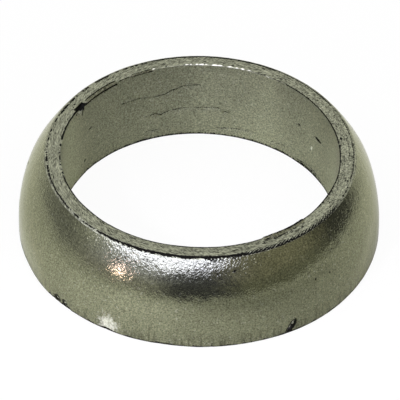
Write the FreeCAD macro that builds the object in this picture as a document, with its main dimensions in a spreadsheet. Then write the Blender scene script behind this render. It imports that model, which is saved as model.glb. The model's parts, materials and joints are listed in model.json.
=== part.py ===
import FreeCAD, Part
import Sketcher
import math
import os

# Exhaust gasket ring
#
# One die-formed ring of graphite and steel mesh. It stands on its broad foot, with
# the bore along Z and the origin in the middle of the foot. The bore slides over the
# end of a pipe, the flat land on top stops the ring, and the rounded flank between
# the land and the foot band is the seat that seals in the flared end of the next pipe.
# The marks of rough handling are part of the ring: a lip of flash on the inner top
# edge, a chip in that edge, a leaning pit that breaks out of the foot and three nicks.

NODE = "gasket_ring"

# Driving sizes in millimetres. Angles are in degrees, from +X towards +Y round the
# ring, and a lean is counted from upright.
SIZES = {
    # Section of the ring
    "bore_diameter": 52.2,
    "land_width": 2.85,
    "flank_width": 5.25,
    "ring_height": 17.6,
    "band_height": 2.5,
    "edge_break": 0.25,
    # Lip of flash that stands up on the inner top edge
    "lip_angle": 296.5,
    "lip_span": 19.8,
    "lip_width": 0.9,
    "lip_rise": 0.3,
    "lip_root": 0.8,
    # Chip in the inner top edge
    "chip_angle": 151.2,
    "chip_drop": 0.35,
    "chip_length": 3.2,
    "chip_width": 2.0,
    "chip_depth": 0.7,
    "chip_lean": 98.0,
    # Leaning pit that breaks out of the foot
    "pit_angle": 300.3,
    "pit_rise": 1.25,
    "pit_length": 3.4,
    "pit_width": 1.1,
    "pit_depth": 0.5,
    "pit_lean": 27.0,
    # Nicks that lie along the foot
    "left_nick_angle": 219.3,
    "next_nick_angle": 224.0,
    "front_nick_angle": 241.3,
    "nick_rise": 0.4,
    "nick_length": 1.3,
    "nick_width": 0.45,
    "nick_depth": 0.3,
    "nick_lean": 86.0,
    # How far outside its wall a cut starts
    "cut_margin": 0.5,
}

BORE_RADIUS = "sizes.bore_diameter / 2"
OUTER_RADIUS = "(sizes.bore_diameter / 2 + sizes.land_width + sizes.flank_width)"

# A point of a sketch is an element and its end, 1 for the start and 2 for the finish
MIDDLE = (-1, 1)

# Two lengths that differ by less than this are the same
TINY = 0.001


def make_sheet(doc):
    """Fill the spreadsheet that holds every driving size under its own name."""
    sheet = doc.addObject("Spreadsheet::Sheet", "sizes")
    for row, (name, size) in enumerate(SIZES.items(), start=1):
        sheet.set(f"A{row}", name)
        sheet.set(f"B{row}", str(size))
        sheet.setAlias(f"B{row}", name)
    doc.recompute()


def worked_out(body, expression):
    """Work out an expression of the sheet's sizes, for the first drawing of a sketch."""
    return float(body.Document.getObject("sizes").evalExpression(expression))


def new_sketch(body, name, role, offset=None):
    """Start a sketch on one of the body's own origin planes, moved by an offset."""
    sketch = body.newObject("Sketcher::SketchObject", name)
    plane = next(plane for plane in body.Origin.OriginFeatures if plane.Role == role)
    sketch.AttachmentSupport = [(plane, "")]
    sketch.MapMode = "FlatFace"
    if offset:
        sketch.setExpression("AttachmentOffset", offset)
    return sketch


def draw_line(sketch, start, end):
    """Draw a straight line and give its number in the sketch."""
    line = Part.LineSegment(FreeCAD.Vector(*start, 0), FreeCAD.Vector(*end, 0))
    return sketch.addGeometry(line, False)


def draw_arc(sketch, middle, start, end):
    """Draw an arc that turns left from start to end and give its number in the sketch."""
    circle = Part.Circle(FreeCAD.Vector(*middle, 0), FreeCAD.Vector(0, 0, 1), math.dist(middle, start))
    turns = [math.atan2(point[1] - middle[1], point[0] - middle[0]) for point in (start, end)]
    return sketch.addGeometry(Part.ArcOfCircle(circle, *turns), False)


def join(sketch, first, second):
    """Make the finish of one element meet the start of another."""
    sketch.addConstraint(Sketcher.Constraint("Coincident", first, 2, second, 1))


def square_up(sketch, level, upright):
    """Keep some lines level and others upright."""
    for line in level:
        sketch.addConstraint(Sketcher.Constraint("Horizontal", line))
    for line in upright:
        sketch.addConstraint(Sketcher.Constraint("Vertical", line))


def drive(sketch, name, constraint, expression):
    """Add a dimension under its own name and let the sheet drive it."""
    index = sketch.addConstraint(constraint)
    sketch.renameConstraint(index, name)
    sketch.setExpression(f"Constraints.{name}", expression)


def drive_across(sketch, name, start, end, expression):
    """Drive the distance across a sketch from one point to another."""
    drawn = sketch.getPoint(*end).x - sketch.getPoint(*start).x
    drive(sketch, name, Sketcher.Constraint("DistanceX", *start, *end, drawn), expression)


def drive_up(sketch, name, start, end, expression):
    """Drive the distance up a sketch from one point to another."""
    drawn = sketch.getPoint(*end).y - sketch.getPoint(*start).y
    drive(sketch, name, Sketcher.Constraint("DistanceY", *start, *end, drawn), expression)


def turn(body, name, sketch, angle):
    """Add material by turning a sketch about the axis of the bore."""
    turned = body.newObject("PartDesign::Revolution", name)
    turned.Profile = sketch
    turned.ReferenceAxis = (sketch, ["V_Axis"])
    turned.setExpression("Angle", angle)
    body.Document.recompute()
    return turned


def form_ring(body):
    """Turn the section of the ring: foot, band, rounded seat, land and bore."""
    bore = worked_out(body, BORE_RADIUS)
    outer = worked_out(body, OUTER_RADIUS)
    land = bore + SIZES["land_width"]
    band = SIZES["band_height"]
    top = SIZES["ring_height"]
    # The seat's arc leaves the band upright and ends at the edge of the land
    seat_radius = ((outer - land) ** 2 + (top - band) ** 2) / (2 * (outer - land))

    sketch = new_sketch(body, "section", "XZ_Plane")
    foot_line = draw_line(sketch, (bore, 0), (outer, 0))
    band_line = draw_line(sketch, (outer, 0), (outer, band))
    seat_arc = draw_arc(sketch, (outer - seat_radius, band), (outer, band), (land, top))
    land_line = draw_line(sketch, (land, top), (bore, top))
    bore_line = draw_line(sketch, (bore, top), (bore, 0))
    join(sketch, foot_line, band_line)
    sketch.addConstraint(Sketcher.Constraint("Tangent", band_line, 2, seat_arc, 1))
    join(sketch, seat_arc, land_line)
    join(sketch, land_line, bore_line)
    join(sketch, bore_line, foot_line)
    square_up(sketch, level=[foot_line, land_line], upright=[band_line, bore_line])
    sketch.addConstraint(Sketcher.Constraint("PointOnObject", foot_line, 1, -1))
    drive_across(sketch, "bore_radius", MIDDLE, (foot_line, 1), BORE_RADIUS)
    drive_across(sketch, "land_width", (land_line, 2), (land_line, 1), "sizes.land_width")
    drive_across(sketch, "flank_width", (land_line, 1), (foot_line, 2), "sizes.flank_width")
    drive_up(sketch, "band_height", (band_line, 1), (band_line, 2), "sizes.band_height")
    drive_up(sketch, "ring_height", (bore_line, 2), (bore_line, 1), "sizes.ring_height")
    return turn(body, "formed_ring", sketch, "360 deg")


def break_corners(body, ring):
    """Break both corners of the foot and the outer corner of the land.

    The inner corner of the land stays sharp, as the punch leaves it.
    """
    land_edge = worked_out(body, BORE_RADIUS) + SIZES["land_width"]
    corners = []
    for index, edge in enumerate(ring.Shape.Edges, start=1):
        on_foot = abs(edge.CenterOfMass.z) < TINY
        on_land_edge = abs(edge.Length - 2 * math.pi * land_edge) < TINY
        if edge.isClosed() and (on_foot or on_land_edge):
            corners.append(f"Edge{index}")
    broken = body.newObject("PartDesign::Chamfer", "broken_corners")
    broken.Base = (ring, corners)
    broken.setExpression("Size", "sizes.edge_break")
    body.Document.recompute()
    return broken


def raise_flash_lip(body):
    """Raise a thin lip on part of the inner top edge, flush with the bore."""
    bore = worked_out(body, BORE_RADIUS)
    outside = bore + SIZES["lip_width"]
    land = SIZES["ring_height"]
    root = land - SIZES["lip_root"]
    crest = land + SIZES["lip_rise"]

    start = "placement(vector(0 mm; 0 mm; 0 mm); rotation(vector(0; 1; 0); sizes.lip_angle * 1 deg))"
    sketch = new_sketch(body, "lip_section", "XZ_Plane", start)
    root_line = draw_line(sketch, (bore, root), (outside, root))
    outer_line = draw_line(sketch, (outside, root), (outside, land))
    slope_line = draw_line(sketch, (outside, land), (bore, crest))
    inner_line = draw_line(sketch, (bore, crest), (bore, root))
    join(sketch, root_line, outer_line)
    join(sketch, outer_line, slope_line)
    join(sketch, slope_line, inner_line)
    join(sketch, inner_line, root_line)
    square_up(sketch, level=[root_line], upright=[outer_line, inner_line])
    drive_across(sketch, "bore_radius", MIDDLE, (root_line, 1), BORE_RADIUS)
    drive_across(sketch, "lip_width", (root_line, 1), (root_line, 2), "sizes.lip_width")
    drive_up(sketch, "land_height", MIDDLE, (slope_line, 1), "sizes.ring_height")
    drive_up(sketch, "lip_root", (outer_line, 1), (outer_line, 2), "sizes.lip_root")
    drive_up(sketch, "lip_rise", (slope_line, 1), (slope_line, 2), "sizes.lip_rise")
    return turn(body, "flash_lip", sketch, "sizes.lip_span * 1 deg")


def cut_mark(body, name, kind, angle, height, wall, inward):
    """Cut a lens-shaped mark into a wall of the ring.

    The mark's outline is two arcs that meet in two tips. It is drawn on a plane that
    faces the axis of the bore, just outside the wall, and cut straight in.

    kind: the word that the names of its length, width, depth and lean start with
    angle, height: expressions for where the middle of the mark lies
    wall: an expression for the radius of the wall
    inward: true for the outer wall, which is cut towards the axis, and false for the bore
    """
    radius = f"({wall} {'+' if inward else '-'} sizes.cut_margin) * 1 mm"
    offset = (
        f"placement(vector({radius} * sin({angle} * 1 deg); 0 mm; {radius} * cos({angle} * 1 deg));"
        f" rotation(vector(0; 1; 0); {angle} * 1 deg))"
    )
    length, width, lean = (f"sizes.{kind}_{part}" for part in ("length", "width", "lean"))
    tip_across = f"{length} / 2 * sin({lean} * 1 deg)"
    tip_up = f"{length} / 2 * cos({lean} * 1 deg)"
    bow = f"({length} ^ 2 + {width} ^ 2) / (4 * {width})"

    middle = (0, worked_out(body, height))
    tip = (worked_out(body, tip_across), worked_out(body, tip_up))
    low_tip = (middle[0] - tip[0], middle[1] - tip[1])
    high_tip = (middle[0] + tip[0], middle[1] + tip[1])
    # From the middle of the lens to the middle of each arc, as a share of the half length
    share = worked_out(body, f"({bow} - {width} / 2) / ({length} / 2)")
    right_middle = (middle[0] - tip[1] * share, middle[1] + tip[0] * share)
    left_middle = (middle[0] + tip[1] * share, middle[1] - tip[0] * share)

    sketch = new_sketch(body, f"{name}_outline", "YZ_Plane", offset)
    right_arc = draw_arc(sketch, right_middle, low_tip, high_tip)
    left_arc = draw_arc(sketch, left_middle, high_tip, low_tip)
    join(sketch, right_arc, left_arc)
    join(sketch, left_arc, right_arc)
    sketch.addConstraint(Sketcher.Constraint("Equal", right_arc, left_arc))
    drive(sketch, "bow", Sketcher.Constraint("Radius", right_arc, worked_out(body, bow)), bow)
    drive_across(sketch, "low_across", MIDDLE, (right_arc, 1), f"-({tip_across})")
    drive_up(sketch, "low_up", MIDDLE, (right_arc, 1), f"{height} - {tip_up}")
    drive_across(sketch, "high_across", MIDDLE, (right_arc, 2), tip_across)
    drive_up(sketch, "high_up", MIDDLE, (right_arc, 2), f"{height} + {tip_up}")

    cut = body.newObject("PartDesign::Pocket", name)
    cut.Profile = sketch
    cut.Type = "Length"
    cut.Reversed = not inward
    cut.setExpression("Length", f"sizes.{kind}_depth + sizes.cut_margin")
    body.Document.recompute()
    return cut


def check(doc, body, steps):
    """Stop if a feature failed, left the ring as it was, or broke it into pieces."""
    for item in doc.Objects:
        if {"Invalid", "Error"} & set(item.State):
            raise RuntimeError(f"{item.Name} failed: {item.State}")
    for before, after, grows in steps:
        change = after.Shape.Volume - before.Shape.Volume
        if (change > 0) != grows or change == 0:
            raise RuntimeError(f"{after.Name} changed the volume by {change}")
    shape = body.Shape
    if shape.isNull() or not shape.isValid() or len(shape.Solids) != 1:
        raise RuntimeError("the ring isn't one valid solid")


def build():
    """Build the ring and write its STEP file."""
    doc = FreeCAD.newDocument("exhaust_gasket")
    make_sheet(doc)
    body = doc.addObject("PartDesign::Body", NODE)
    body.Label = NODE

    ring = form_ring(body)
    broken = break_corners(body, ring)
    lip = raise_flash_lip(body)
    steps = [(ring, broken, False), (broken, lip, True)]

    inner_edge = "(sizes.ring_height - sizes.chip_drop)"
    marks = [
        cut_mark(body, "edge_chip", "chip", "sizes.chip_angle", inner_edge, BORE_RADIUS, inward=False),
        cut_mark(body, "foot_pit", "pit", "sizes.pit_angle", "sizes.pit_rise", OUTER_RADIUS, inward=True),
    ]
    for place in ("left_nick", "next_nick", "front_nick"):
        angle = f"sizes.{place}_angle"
        marks.append(cut_mark(body, place, "nick", angle, "sizes.nick_rise", OUTER_RADIUS, inward=True))
    for before, after in zip([lip] + marks, marks):
        steps.append((before, after, False))

    doc.recompute()
    check(doc, body, steps)
    os.makedirs("parts", exist_ok=True)
    body.Shape.exportStep(f"parts/{NODE}.step")


build()
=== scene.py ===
"""The looks of a die-formed exhaust gasket: the worn ring, its finish, the light and the camera.

The ring is modelled in millimetres, turned about Z with its foot on the floor, and is
scaled to metres once, at the end. Angles round the ring are in degrees from +X towards +Y.
"""

import json
import logging
import math
from abc import ABC, abstractmethod
from dataclasses import dataclass, field
from enum import Enum

import bmesh
import bpy
from mathutils import Matrix, Vector, noise


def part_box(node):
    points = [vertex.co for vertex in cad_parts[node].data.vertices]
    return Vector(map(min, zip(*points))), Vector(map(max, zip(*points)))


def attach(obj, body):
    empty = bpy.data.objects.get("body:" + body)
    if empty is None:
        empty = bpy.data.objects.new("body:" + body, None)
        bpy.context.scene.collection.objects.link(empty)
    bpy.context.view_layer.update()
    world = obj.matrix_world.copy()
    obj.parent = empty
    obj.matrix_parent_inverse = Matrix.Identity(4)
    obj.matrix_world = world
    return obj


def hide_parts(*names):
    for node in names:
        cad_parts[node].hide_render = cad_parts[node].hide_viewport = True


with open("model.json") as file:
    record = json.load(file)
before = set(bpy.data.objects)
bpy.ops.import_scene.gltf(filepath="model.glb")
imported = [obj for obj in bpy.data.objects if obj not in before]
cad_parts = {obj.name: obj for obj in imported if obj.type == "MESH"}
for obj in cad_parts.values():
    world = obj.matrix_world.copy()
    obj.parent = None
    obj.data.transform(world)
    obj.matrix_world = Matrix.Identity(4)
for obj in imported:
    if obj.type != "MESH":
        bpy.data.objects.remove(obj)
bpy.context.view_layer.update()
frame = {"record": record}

log = logging.getLogger("exhaust_gasket")

NODE = "gasket_ring"
BODY = "root"

# Metres in a millimetre, and the smallest length that counts, in millimetres
MM = 0.001
TINY = 0.001
FULL_TURN = 360.0

# An opaque linear colour, as a shader socket takes it
Colour = tuple[float, float, float, float]
# A socket of a material's node, what can be fed to one, and a mesh's layers of numbers by name
Socket = bpy.types.NodeSocket
Value = Socket | float | Colour
Layers = dict[str, bmesh.types.BMLayerItem]


class Wall(Enum):
    """The walls of the ring, in the order of its section."""

    BORE = "bore"
    LAND = "land"
    SEAT = "seat"
    BAND = "band"
    FOOT = "foot"


class LandEdge(Enum):
    """The two edges of the land."""

    INNER = "inner"
    OUTER = "outer"


class Stroke(Enum):
    """How a dark line runs along an edge."""

    SOLID = "solid"
    BROKEN = "broken"
    DOTTED = "dotted"
    RIBBED = "ribbed"
    FRAYED = "frayed"


def colour(red: float, green: float, blue: float) -> Colour:
    """Give an opaque linear colour."""
    return (red, green, blue, 1.0)


def smooth_step(value: float) -> float:
    """Ease a value from 0 to 1, flat outside that range."""
    value = min(max(value, 0.0), 1.0)
    return value * value * (3.0 - 2.0 * value)


def bell(value: float) -> float:
    """Give a bell curve of 1 at 0, about a third at 1 and nothing from 2 on."""
    return math.exp(-value * value) if abs(value) < 2.5 else 0.0


def stroke_at(across: float, width: float) -> float:
    """Give how dark a soft stroke of a width is at a distance from its middle, from 0 to 1."""
    return bell(across / (1.25 * width))


def turn_between(azimuth: float, centre: float) -> float:
    """Give the shortest turn from a centre to an azimuth, in degrees."""
    return (azimuth - centre + FULL_TURN / 2) % FULL_TURN - FULL_TURN / 2


def ripple(point: Vector, size: float, seed: float) -> float:
    """Give smooth noise from -1 to 1 at a point, with bumps of a size, picked by a seed."""
    return noise.noise(point / size + Vector((seed, 2.3 * seed, -1.7 * seed)))


def flutter(azimuth: float, pitch: float, seed: float) -> float:
    """Give smooth noise from -1 to 1 along the turn, with a pitch in degrees."""
    return noise.noise(Vector((azimuth / pitch, 5.1 * seed, 3.7)))


@dataclass(frozen=True)
class Span:
    """A stretch round the ring, in degrees, with soft ends."""

    start: float
    end: float
    fade: float = 1.0

    @property
    def centre(self) -> float:
        """The azimuth in the middle of the stretch."""
        return (self.start + self.end) / 2

    @property
    def half(self) -> float:
        """Half of the stretch's turn."""
        return (self.end - self.start) / 2

    def share(self, azimuth: float) -> float:
        """Give 1 for an azimuth inside the stretch and 0 for one outside, eased over the fade."""
        outside = abs(turn_between(azimuth, self.centre)) - self.half
        return 1.0 - smooth_step(outside / self.fade + 0.5)


@dataclass(frozen=True)
class RingSizes:
    """The sizes of the plain ring, in millimetres."""

    bore_radius: float
    outer_radius: float
    land_height: float
    land_width: float = 2.85
    band_height: float = 2.5
    edge_break: float = 0.25
    inner_break: float = 0.07

    @classmethod
    def from_frame(cls) -> "RingSizes":
        """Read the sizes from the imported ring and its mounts.

        Returns:
            The sizes, with the small ones that the mounts don't state.
        """
        mounts = {mount["name"]: mount for mount in frame["record"]["mounts"]}
        _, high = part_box(NODE)
        return cls(
            bore_radius=mounts["bore"]["dims"]["r_mm"],
            outer_radius=high.x / MM,
            land_height=mounts["land"]["pos_m"][2] / MM,
        )

    @property
    def land_edge(self) -> float:
        """The radius of the land's outer edge."""
        return self.bore_radius + self.land_width

    @property
    def seat_radius(self) -> float:
        """Work out the radius of the seat's arc, which leaves the band upright.

        Returns:
            The radius in millimetres.
        """
        reach = self.outer_radius - self.land_edge
        rise = self.land_height - self.band_height
        return (reach**2 + rise**2) / (2 * reach)

    def wall_at(self, radius: float, height: float) -> Wall:
        """Say which wall a point of the plain ring lies on.

        Args:
            radius: The distance from the axis.
            height: The height above the foot.

        Returns:
            The wall, with the broken corners counted to the land, the band or the foot.
        """
        if height > self.land_height - self.edge_break - TINY and radius > self.bore_radius + TINY:
            return Wall.LAND
        if radius < self.bore_radius + TINY:
            return Wall.BORE
        if height < self.edge_break / 2:
            return Wall.FOOT
        return Wall.BAND if height < self.band_height else Wall.SEAT


@dataclass(frozen=True)
class Place:
    """A point of the plain ring, and the wall that it lies on."""

    azimuth: float
    radius: float
    height: float
    wall: Wall

    @classmethod
    def at(cls, point: Vector, sizes: RingSizes) -> "Place":
        """Find the place of a point.

        Args:
            point: The point, in millimetres.
            sizes: The sizes of the plain ring.

        Returns:
            The place.
        """
        radius = math.hypot(point.x, point.y)
        azimuth = math.degrees(math.atan2(point.y, point.x)) % FULL_TURN
        return cls(azimuth, radius, point.z, sizes.wall_at(radius, point.z))

    @property
    def across(self) -> float:
        """The place across its wall: its radius on the land, else its height."""
        return self.radius if self.wall is Wall.LAND else self.height

    @property
    def outside(self) -> bool:
        """Whether the place is on the outer wall."""
        return self.wall in (Wall.SEAT, Wall.BAND)


@dataclass
class Touch:
    """What all the marks together do at one point: how it moves and how it is coloured."""

    # Moves in millimetres: inwards along the normal, away from the axis, and up
    sink: float = 0.0
    outward: float = 0.0
    upward: float = 0.0
    # How much dark shows, bare graphite and painted shade alike; how much pale shows, rubbed metal and
    # painted glints; and how much dark brown shows
    graphite: float = 0.0
    burnish: float = 0.0
    brown: float = 0.0

    def darken(self, graphite: float) -> None:
        """Darken the point, with bare graphite and painted shade alike, if no other mark has darkened it
        more.
        """
        self.graphite = max(self.graphite, graphite)


class Mark(ABC):
    """One mark of wear on the ring."""

    @property
    @abstractmethod
    def reach(self) -> Span:
        """The stretch round the ring outside which the mark does nothing."""

    @abstractmethod
    def press(self, place: Place, touch: Touch, sizes: RingSizes) -> None:
        """Add what the mark does at a place.

        Args:
            place: A place on the plain ring.
            touch: What the marks do there, which takes this mark's part.
            sizes: The sizes of the plain ring.
        """


@dataclass(frozen=True)
class Crack:
    """A hairline crack along the bore wall or the land.

    Its route is a few points, each an azimuth and a height on the bore wall, or an
    azimuth and a radius on the land.
    """

    wall: Wall
    route: tuple[tuple[float, float], ...]
    width: float = 0.22
    depth: float = 0.08
    darkness: float = 0.85
    # How far off the crack the wall's vertices slide with it
    pull: float = 2.3
    # How far the crack wavers about its route
    waver: float = 0.05
    # How open the crack is on the whole, how much that changes along it, and the turn of a change
    openness: float = 0.78
    change: float = 0.6
    change_turn: float = 1.8

    @property
    def span(self) -> Span:
        """The stretch round the ring that the crack runs along."""
        turns = [azimuth for azimuth, _ in self.route]
        return Span(min(turns), max(turns), fade=3.0)

    @property
    def level(self) -> float:
        """The middle of the crack's route across its wall."""
        places = [place for _, place in self.route]
        return (min(places) + max(places)) / 2

    def place_at(self, azimuth: float) -> float:
        """Give the route's place across the wall at an azimuth.

        Args:
            azimuth: The azimuth in degrees.

        Returns:
            The height or radius in millimetres, eased between the points of the route.
        """
        route = sorted(self.route)
        azimuth = self.span.centre + turn_between(azimuth, self.span.centre)
        waver = self.waver * flutter(azimuth, 1.1, self.level)
        if azimuth <= route[0][0]:
            return route[0][1] + waver
        for (before, low), (after, high) in zip(route, route[1:]):
            if azimuth <= after:
                along = smooth_step((azimuth - before) / (after - before))
                return low + (high - low) * along + waver
        return route[-1][1] + waver

    def strength(self, azimuth: float) -> float:
        """Give how open the crack is at an azimuth.

        Args:
            azimuth: The azimuth in degrees.

        Returns:
            The share of the crack's full depth and darkness, from 0 to 1.
        """
        ends = Span(self.span.start, self.span.end, fade=1.2).share(azimuth)
        change = self.change * flutter(azimuth, self.change_turn, self.level + 4.0)
        return ends * min(max(self.openness + change, 0.2), 1.0)


@dataclass(frozen=True)
class Bite(Mark):
    """A lens-shaped piece that has broken out of the bore wall or the outer wall."""

    azimuth: float
    height: float
    length: float
    width: float
    depth: float
    lean: float
    outside: bool = True
    # How far from its edge it reaches its full depth
    ease: float = 0.22
    # How dark its broken rim and its floor are, bare graphite and painted shade alike, how wide the rim
    # is, how brown the floor is, and how bright, a painted highlight
    rim: float = 1.0
    core: float = 1.0
    rim_width: float = 0.13
    brown: float = 0.0
    shine: float = 0.0
    # How far from a broken edge the land and the foot give way
    give: float = 1.2
    # Raggedness of its edge round the ring and upwards: a share of its width, and a pitch
    rag_around: tuple[float, float] = (0.12, 0.7)
    rag_upward: tuple[float, float] = (0.10, 0.35)

    @property
    def reach(self) -> Span:
        """The stretch round the ring outside which the bite does nothing."""
        return Span(self.azimuth - 8.0, self.azimuth + 8.0)

    def within(self, azimuth: float, height: float, radius: float) -> float:
        """Give how far a place on the wall is inside the bite's edge.

        Args:
            azimuth: The azimuth in degrees.
            height: The height above the foot.
            radius: The radius of the wall.

        Returns:
            The distance in millimetres, with a minus sign outside.
        """
        along = math.radians(turn_between(azimuth, self.azimuth)) * radius
        rise = height - self.height
        lean = math.radians(self.lean)
        up = rise * math.cos(lean) + along * math.sin(lean)
        across = along * math.cos(lean) - rise * math.sin(lean)
        bow = (self.length**2 + self.width**2) / (4 * self.width)
        if abs(up) >= bow:
            return -bow
        edge = math.sqrt(bow**2 - up**2) - (bow - self.width / 2)
        around, around_pitch = self.rag_around
        upward, upward_pitch = self.rag_upward
        ragged = around * flutter(azimuth, around_pitch, self.height)
        ragged += upward * flutter(height, upward_pitch, self.azimuth)
        return edge + ragged * self.width - abs(across)

    def press(self, place: Place, touch: Touch, sizes: RingSizes) -> None:
        """Break the piece out, darken its rim and floor, bare graphite and painted shade alike, and paint
        its floor pale where it has a painted highlight.

        Args:
            place: A place on the plain ring.
            touch: What the marks do there, which takes this mark's part.
            sizes: The sizes of the plain ring.
        """
        if self.outside == (place.wall in (Wall.BORE, Wall.LAND)):
            return
        if self.outside:
            off_edge = sizes.outer_radius - place.radius if place.wall is Wall.FOOT else 0.0
            height = place.height
            push = -self.depth
            wall_radius = sizes.outer_radius
        else:
            off_edge = place.radius - sizes.bore_radius
            height = min(place.height, sizes.land_height - sizes.inner_break)
            push = self.depth
            wall_radius = sizes.bore_radius
        give = min(1.0 - off_edge / self.give, 1.0)
        if give <= 0.0:
            return
        within = self.within(place.azimuth, height, wall_radius)
        cover = smooth_step(within / self.ease) * give
        touch.outward += push * cover
        rim = self.rim * stroke_at(within, self.rim_width) * give
        touch.darken(max(rim, self.core * smooth_step(2.0 * cover)))
        touch.brown = max(touch.brown, self.brown * cover)
        touch.burnish = max(touch.burnish, self.shine * cover)


@dataclass(frozen=True)
class EdgeLine(Mark):
    """A dark line along an edge of the land: partly bare graphite, partly painted shade and painted dark
    reflection.

    Its inset is counted from the sharp edge: onto the land, or with a minus sign down
    the wall beside it.
    """

    edge: LandEdge
    span: Span
    stroke: Stroke
    width: float = 0.13
    darkness: float = 1.0
    inset: float = 0.1
    dip: float = 0.03
    # How far it strays from its inset, and over what turn
    stray: float = 0.05
    stray_turn: float = 2.4
    # How far below the land it may reach, and the seat's length for each millimetre of that
    lowest: float = 1.5
    seat_slant: float = 1.27
    # Turn from one rib to the next and from end to end of a millimetre of rib, in degrees
    rib_pitch: float = 1.75
    rib_slant: float = 4.5
    # How far the ribs or threads reach from the line, and how much of it is left between two ribs
    rib_length: float = 0.6
    rib_gap: float = 0.62
    # Turn of a break, of a dot and of a thread, in degrees
    break_turn: float = 1.1
    dot_turn: float = 0.75
    thread_turn: float = 0.6

    @property
    def reach(self) -> Span:
        """The stretch round the ring outside which the line does nothing."""
        return Span(self.span.start - self.span.fade, self.span.end + self.span.fade)

    def distance(self, place: Place, sizes: RingSizes) -> float:
        """Give a place's distance from the line's edge, onto the land.

        Args:
            place: A place on the land, the bore wall or the seat.
            sizes: The sizes of the plain ring.

        Returns:
            The distance, with a minus sign down the wall beside the land.
        """
        drop = sizes.land_height - place.height
        if self.edge is LandEdge.INNER:
            return place.radius - sizes.bore_radius - drop
        return -self.seat_slant * drop if place.wall is Wall.SEAT else sizes.land_edge - place.radius

    def press(self, place: Place, touch: Touch, sizes: RingSizes) -> None:
        """Darken along the line, bare graphite and painted shade alike, with its breaks, dots, ribs or
        threads.

        Args:
            place: A place on the plain ring.
            touch: What the marks do there, which takes this mark's part.
            sizes: The sizes of the plain ring.
        """
        beside = Wall.BORE if self.edge is LandEdge.INNER else Wall.SEAT
        if place.wall not in (Wall.LAND, beside) or place.height < sizes.land_height - self.lowest:
            return
        share = self.span.share(place.azimuth) * self.darkness
        inset = self.inset + self.stray * flutter(place.azimuth, self.stray_turn, 1.0 + self.inset)
        across = self.distance(place, sizes) - inset
        if self.stroke is Stroke.BROKEN:
            share *= smooth_step(0.8 + 2.6 * flutter(place.azimuth, self.break_turn, self.inset))
        elif self.stroke is Stroke.DOTTED:
            share *= smooth_step(0.5 + 3.4 * flutter(place.azimuth, self.dot_turn, self.inset + 1.0))
        elif self.stroke is Stroke.RIBBED:
            turn = place.azimuth + 0.5 * flutter(place.azimuth, 2.0, 9.0) - self.rib_slant * across
            rib = 0.5 + 0.5 * math.cos(math.tau * turn / self.rib_pitch)
            length = self.rib_length * (0.5 + abs(flutter(place.azimuth, 1.6, 4.0)))
            if across > 0.0:
                across /= 1.0 + length / self.width * rib
            share *= self.rib_gap + (1.0 - self.rib_gap) * rib
        elif self.stroke is Stroke.FRAYED and across < 0.0:
            slanted = place.azimuth + self.rib_slant * across
            thread = smooth_step(0.45 + 2.4 * flutter(slanted, self.thread_turn, 4.0))
            across /= 1.0 + self.rib_length / self.width * thread
        line = share * stroke_at(across, self.width)
        touch.darken(line)
        touch.sink += self.dip * line


@dataclass(frozen=True)
class Fleck(Mark):
    """A small dark pit, or a small raised burr with a painted glint."""

    wall: Wall
    azimuth: float
    place: float
    size: float = 0.16
    depth: float = 0.06
    bright: bool = False
    # How far it is drawn out round the ring, and how bright a burr's painted glint is
    stretch: float = 1.0
    shine: float = 1.5

    @property
    def reach(self) -> Span:
        """The stretch round the ring outside which the fleck does nothing."""
        return Span(self.azimuth - 3.0, self.azimuth + 3.0)

    def press(self, place: Place, touch: Touch, sizes: RingSizes) -> None:
        """Press the pit in and darken it, or raise the burr and paint a glint on it.

        Args:
            place: A place on the plain ring.
            touch: What the marks do there, which takes this mark's part.
            sizes: The sizes of the plain ring; not used.
        """
        if place.wall is not self.wall:
            return
        along = math.radians(turn_between(place.azimuth, self.azimuth)) * place.radius / self.stretch
        cover = bell(math.hypot(along, place.across - self.place) / self.size)
        if self.bright:
            touch.burnish = max(touch.burnish, self.shine * cover)
            touch.sink -= self.depth * cover
        else:
            touch.darken(cover)
            touch.sink += self.depth * cover


@dataclass(frozen=True)
class RubbedHighlight(Mark):
    """A spot of the outer wall that is rubbed and painted pale, a painted highlight on worn metal, with a
    dark lip below.
    """

    azimuth: float
    height: float
    half_width: float
    half_height: float
    dent: float = 0.08
    shine: float = 0.62

    @property
    def reach(self) -> Span:
        """The stretch round the ring outside which the rub does nothing."""
        return Span(self.azimuth - 8.0, self.azimuth + 8.0)

    def press(self, place: Place, touch: Touch, sizes: RingSizes) -> None:
        """Flatten the spot a little and paint it pale, a painted highlight.

        Args:
            place: A place on the plain ring.
            touch: What the marks do there, which takes this mark's part.
            sizes: The sizes of the plain ring; not used.
        """
        if not place.outside:
            return
        along = math.radians(turn_between(place.azimuth, self.azimuth)) * place.radius / self.half_width
        cover = bell(math.hypot(along, (place.height - self.height) / self.half_height) ** 1.5)
        touch.burnish = max(touch.burnish, self.shine * cover)
        touch.sink += self.dent * cover


@dataclass(frozen=True)
class Swell(Mark):
    """A soft bulge of the outer wall, or with a minus sign a soft hollow."""

    azimuth: float
    height: float
    half_turn: float
    half_height: float
    lift: float

    @property
    def reach(self) -> Span:
        """The stretch round the ring outside which the swell does nothing."""
        return Span(self.azimuth - 2.5 * self.half_turn, self.azimuth + 2.5 * self.half_turn)

    def press(self, place: Place, touch: Touch, sizes: RingSizes) -> None:
        """Lift the wall, or press it in.

        Args:
            place: A place on the plain ring.
            touch: What the marks do there, which takes this mark's part.
            sizes: The sizes of the plain ring; not used.
        """
        if not place.outside:
            return
        along = turn_between(place.azimuth, self.azimuth) / self.half_turn
        touch.sink -= self.lift * bell(along) * bell((place.height - self.height) / self.half_height)


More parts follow.
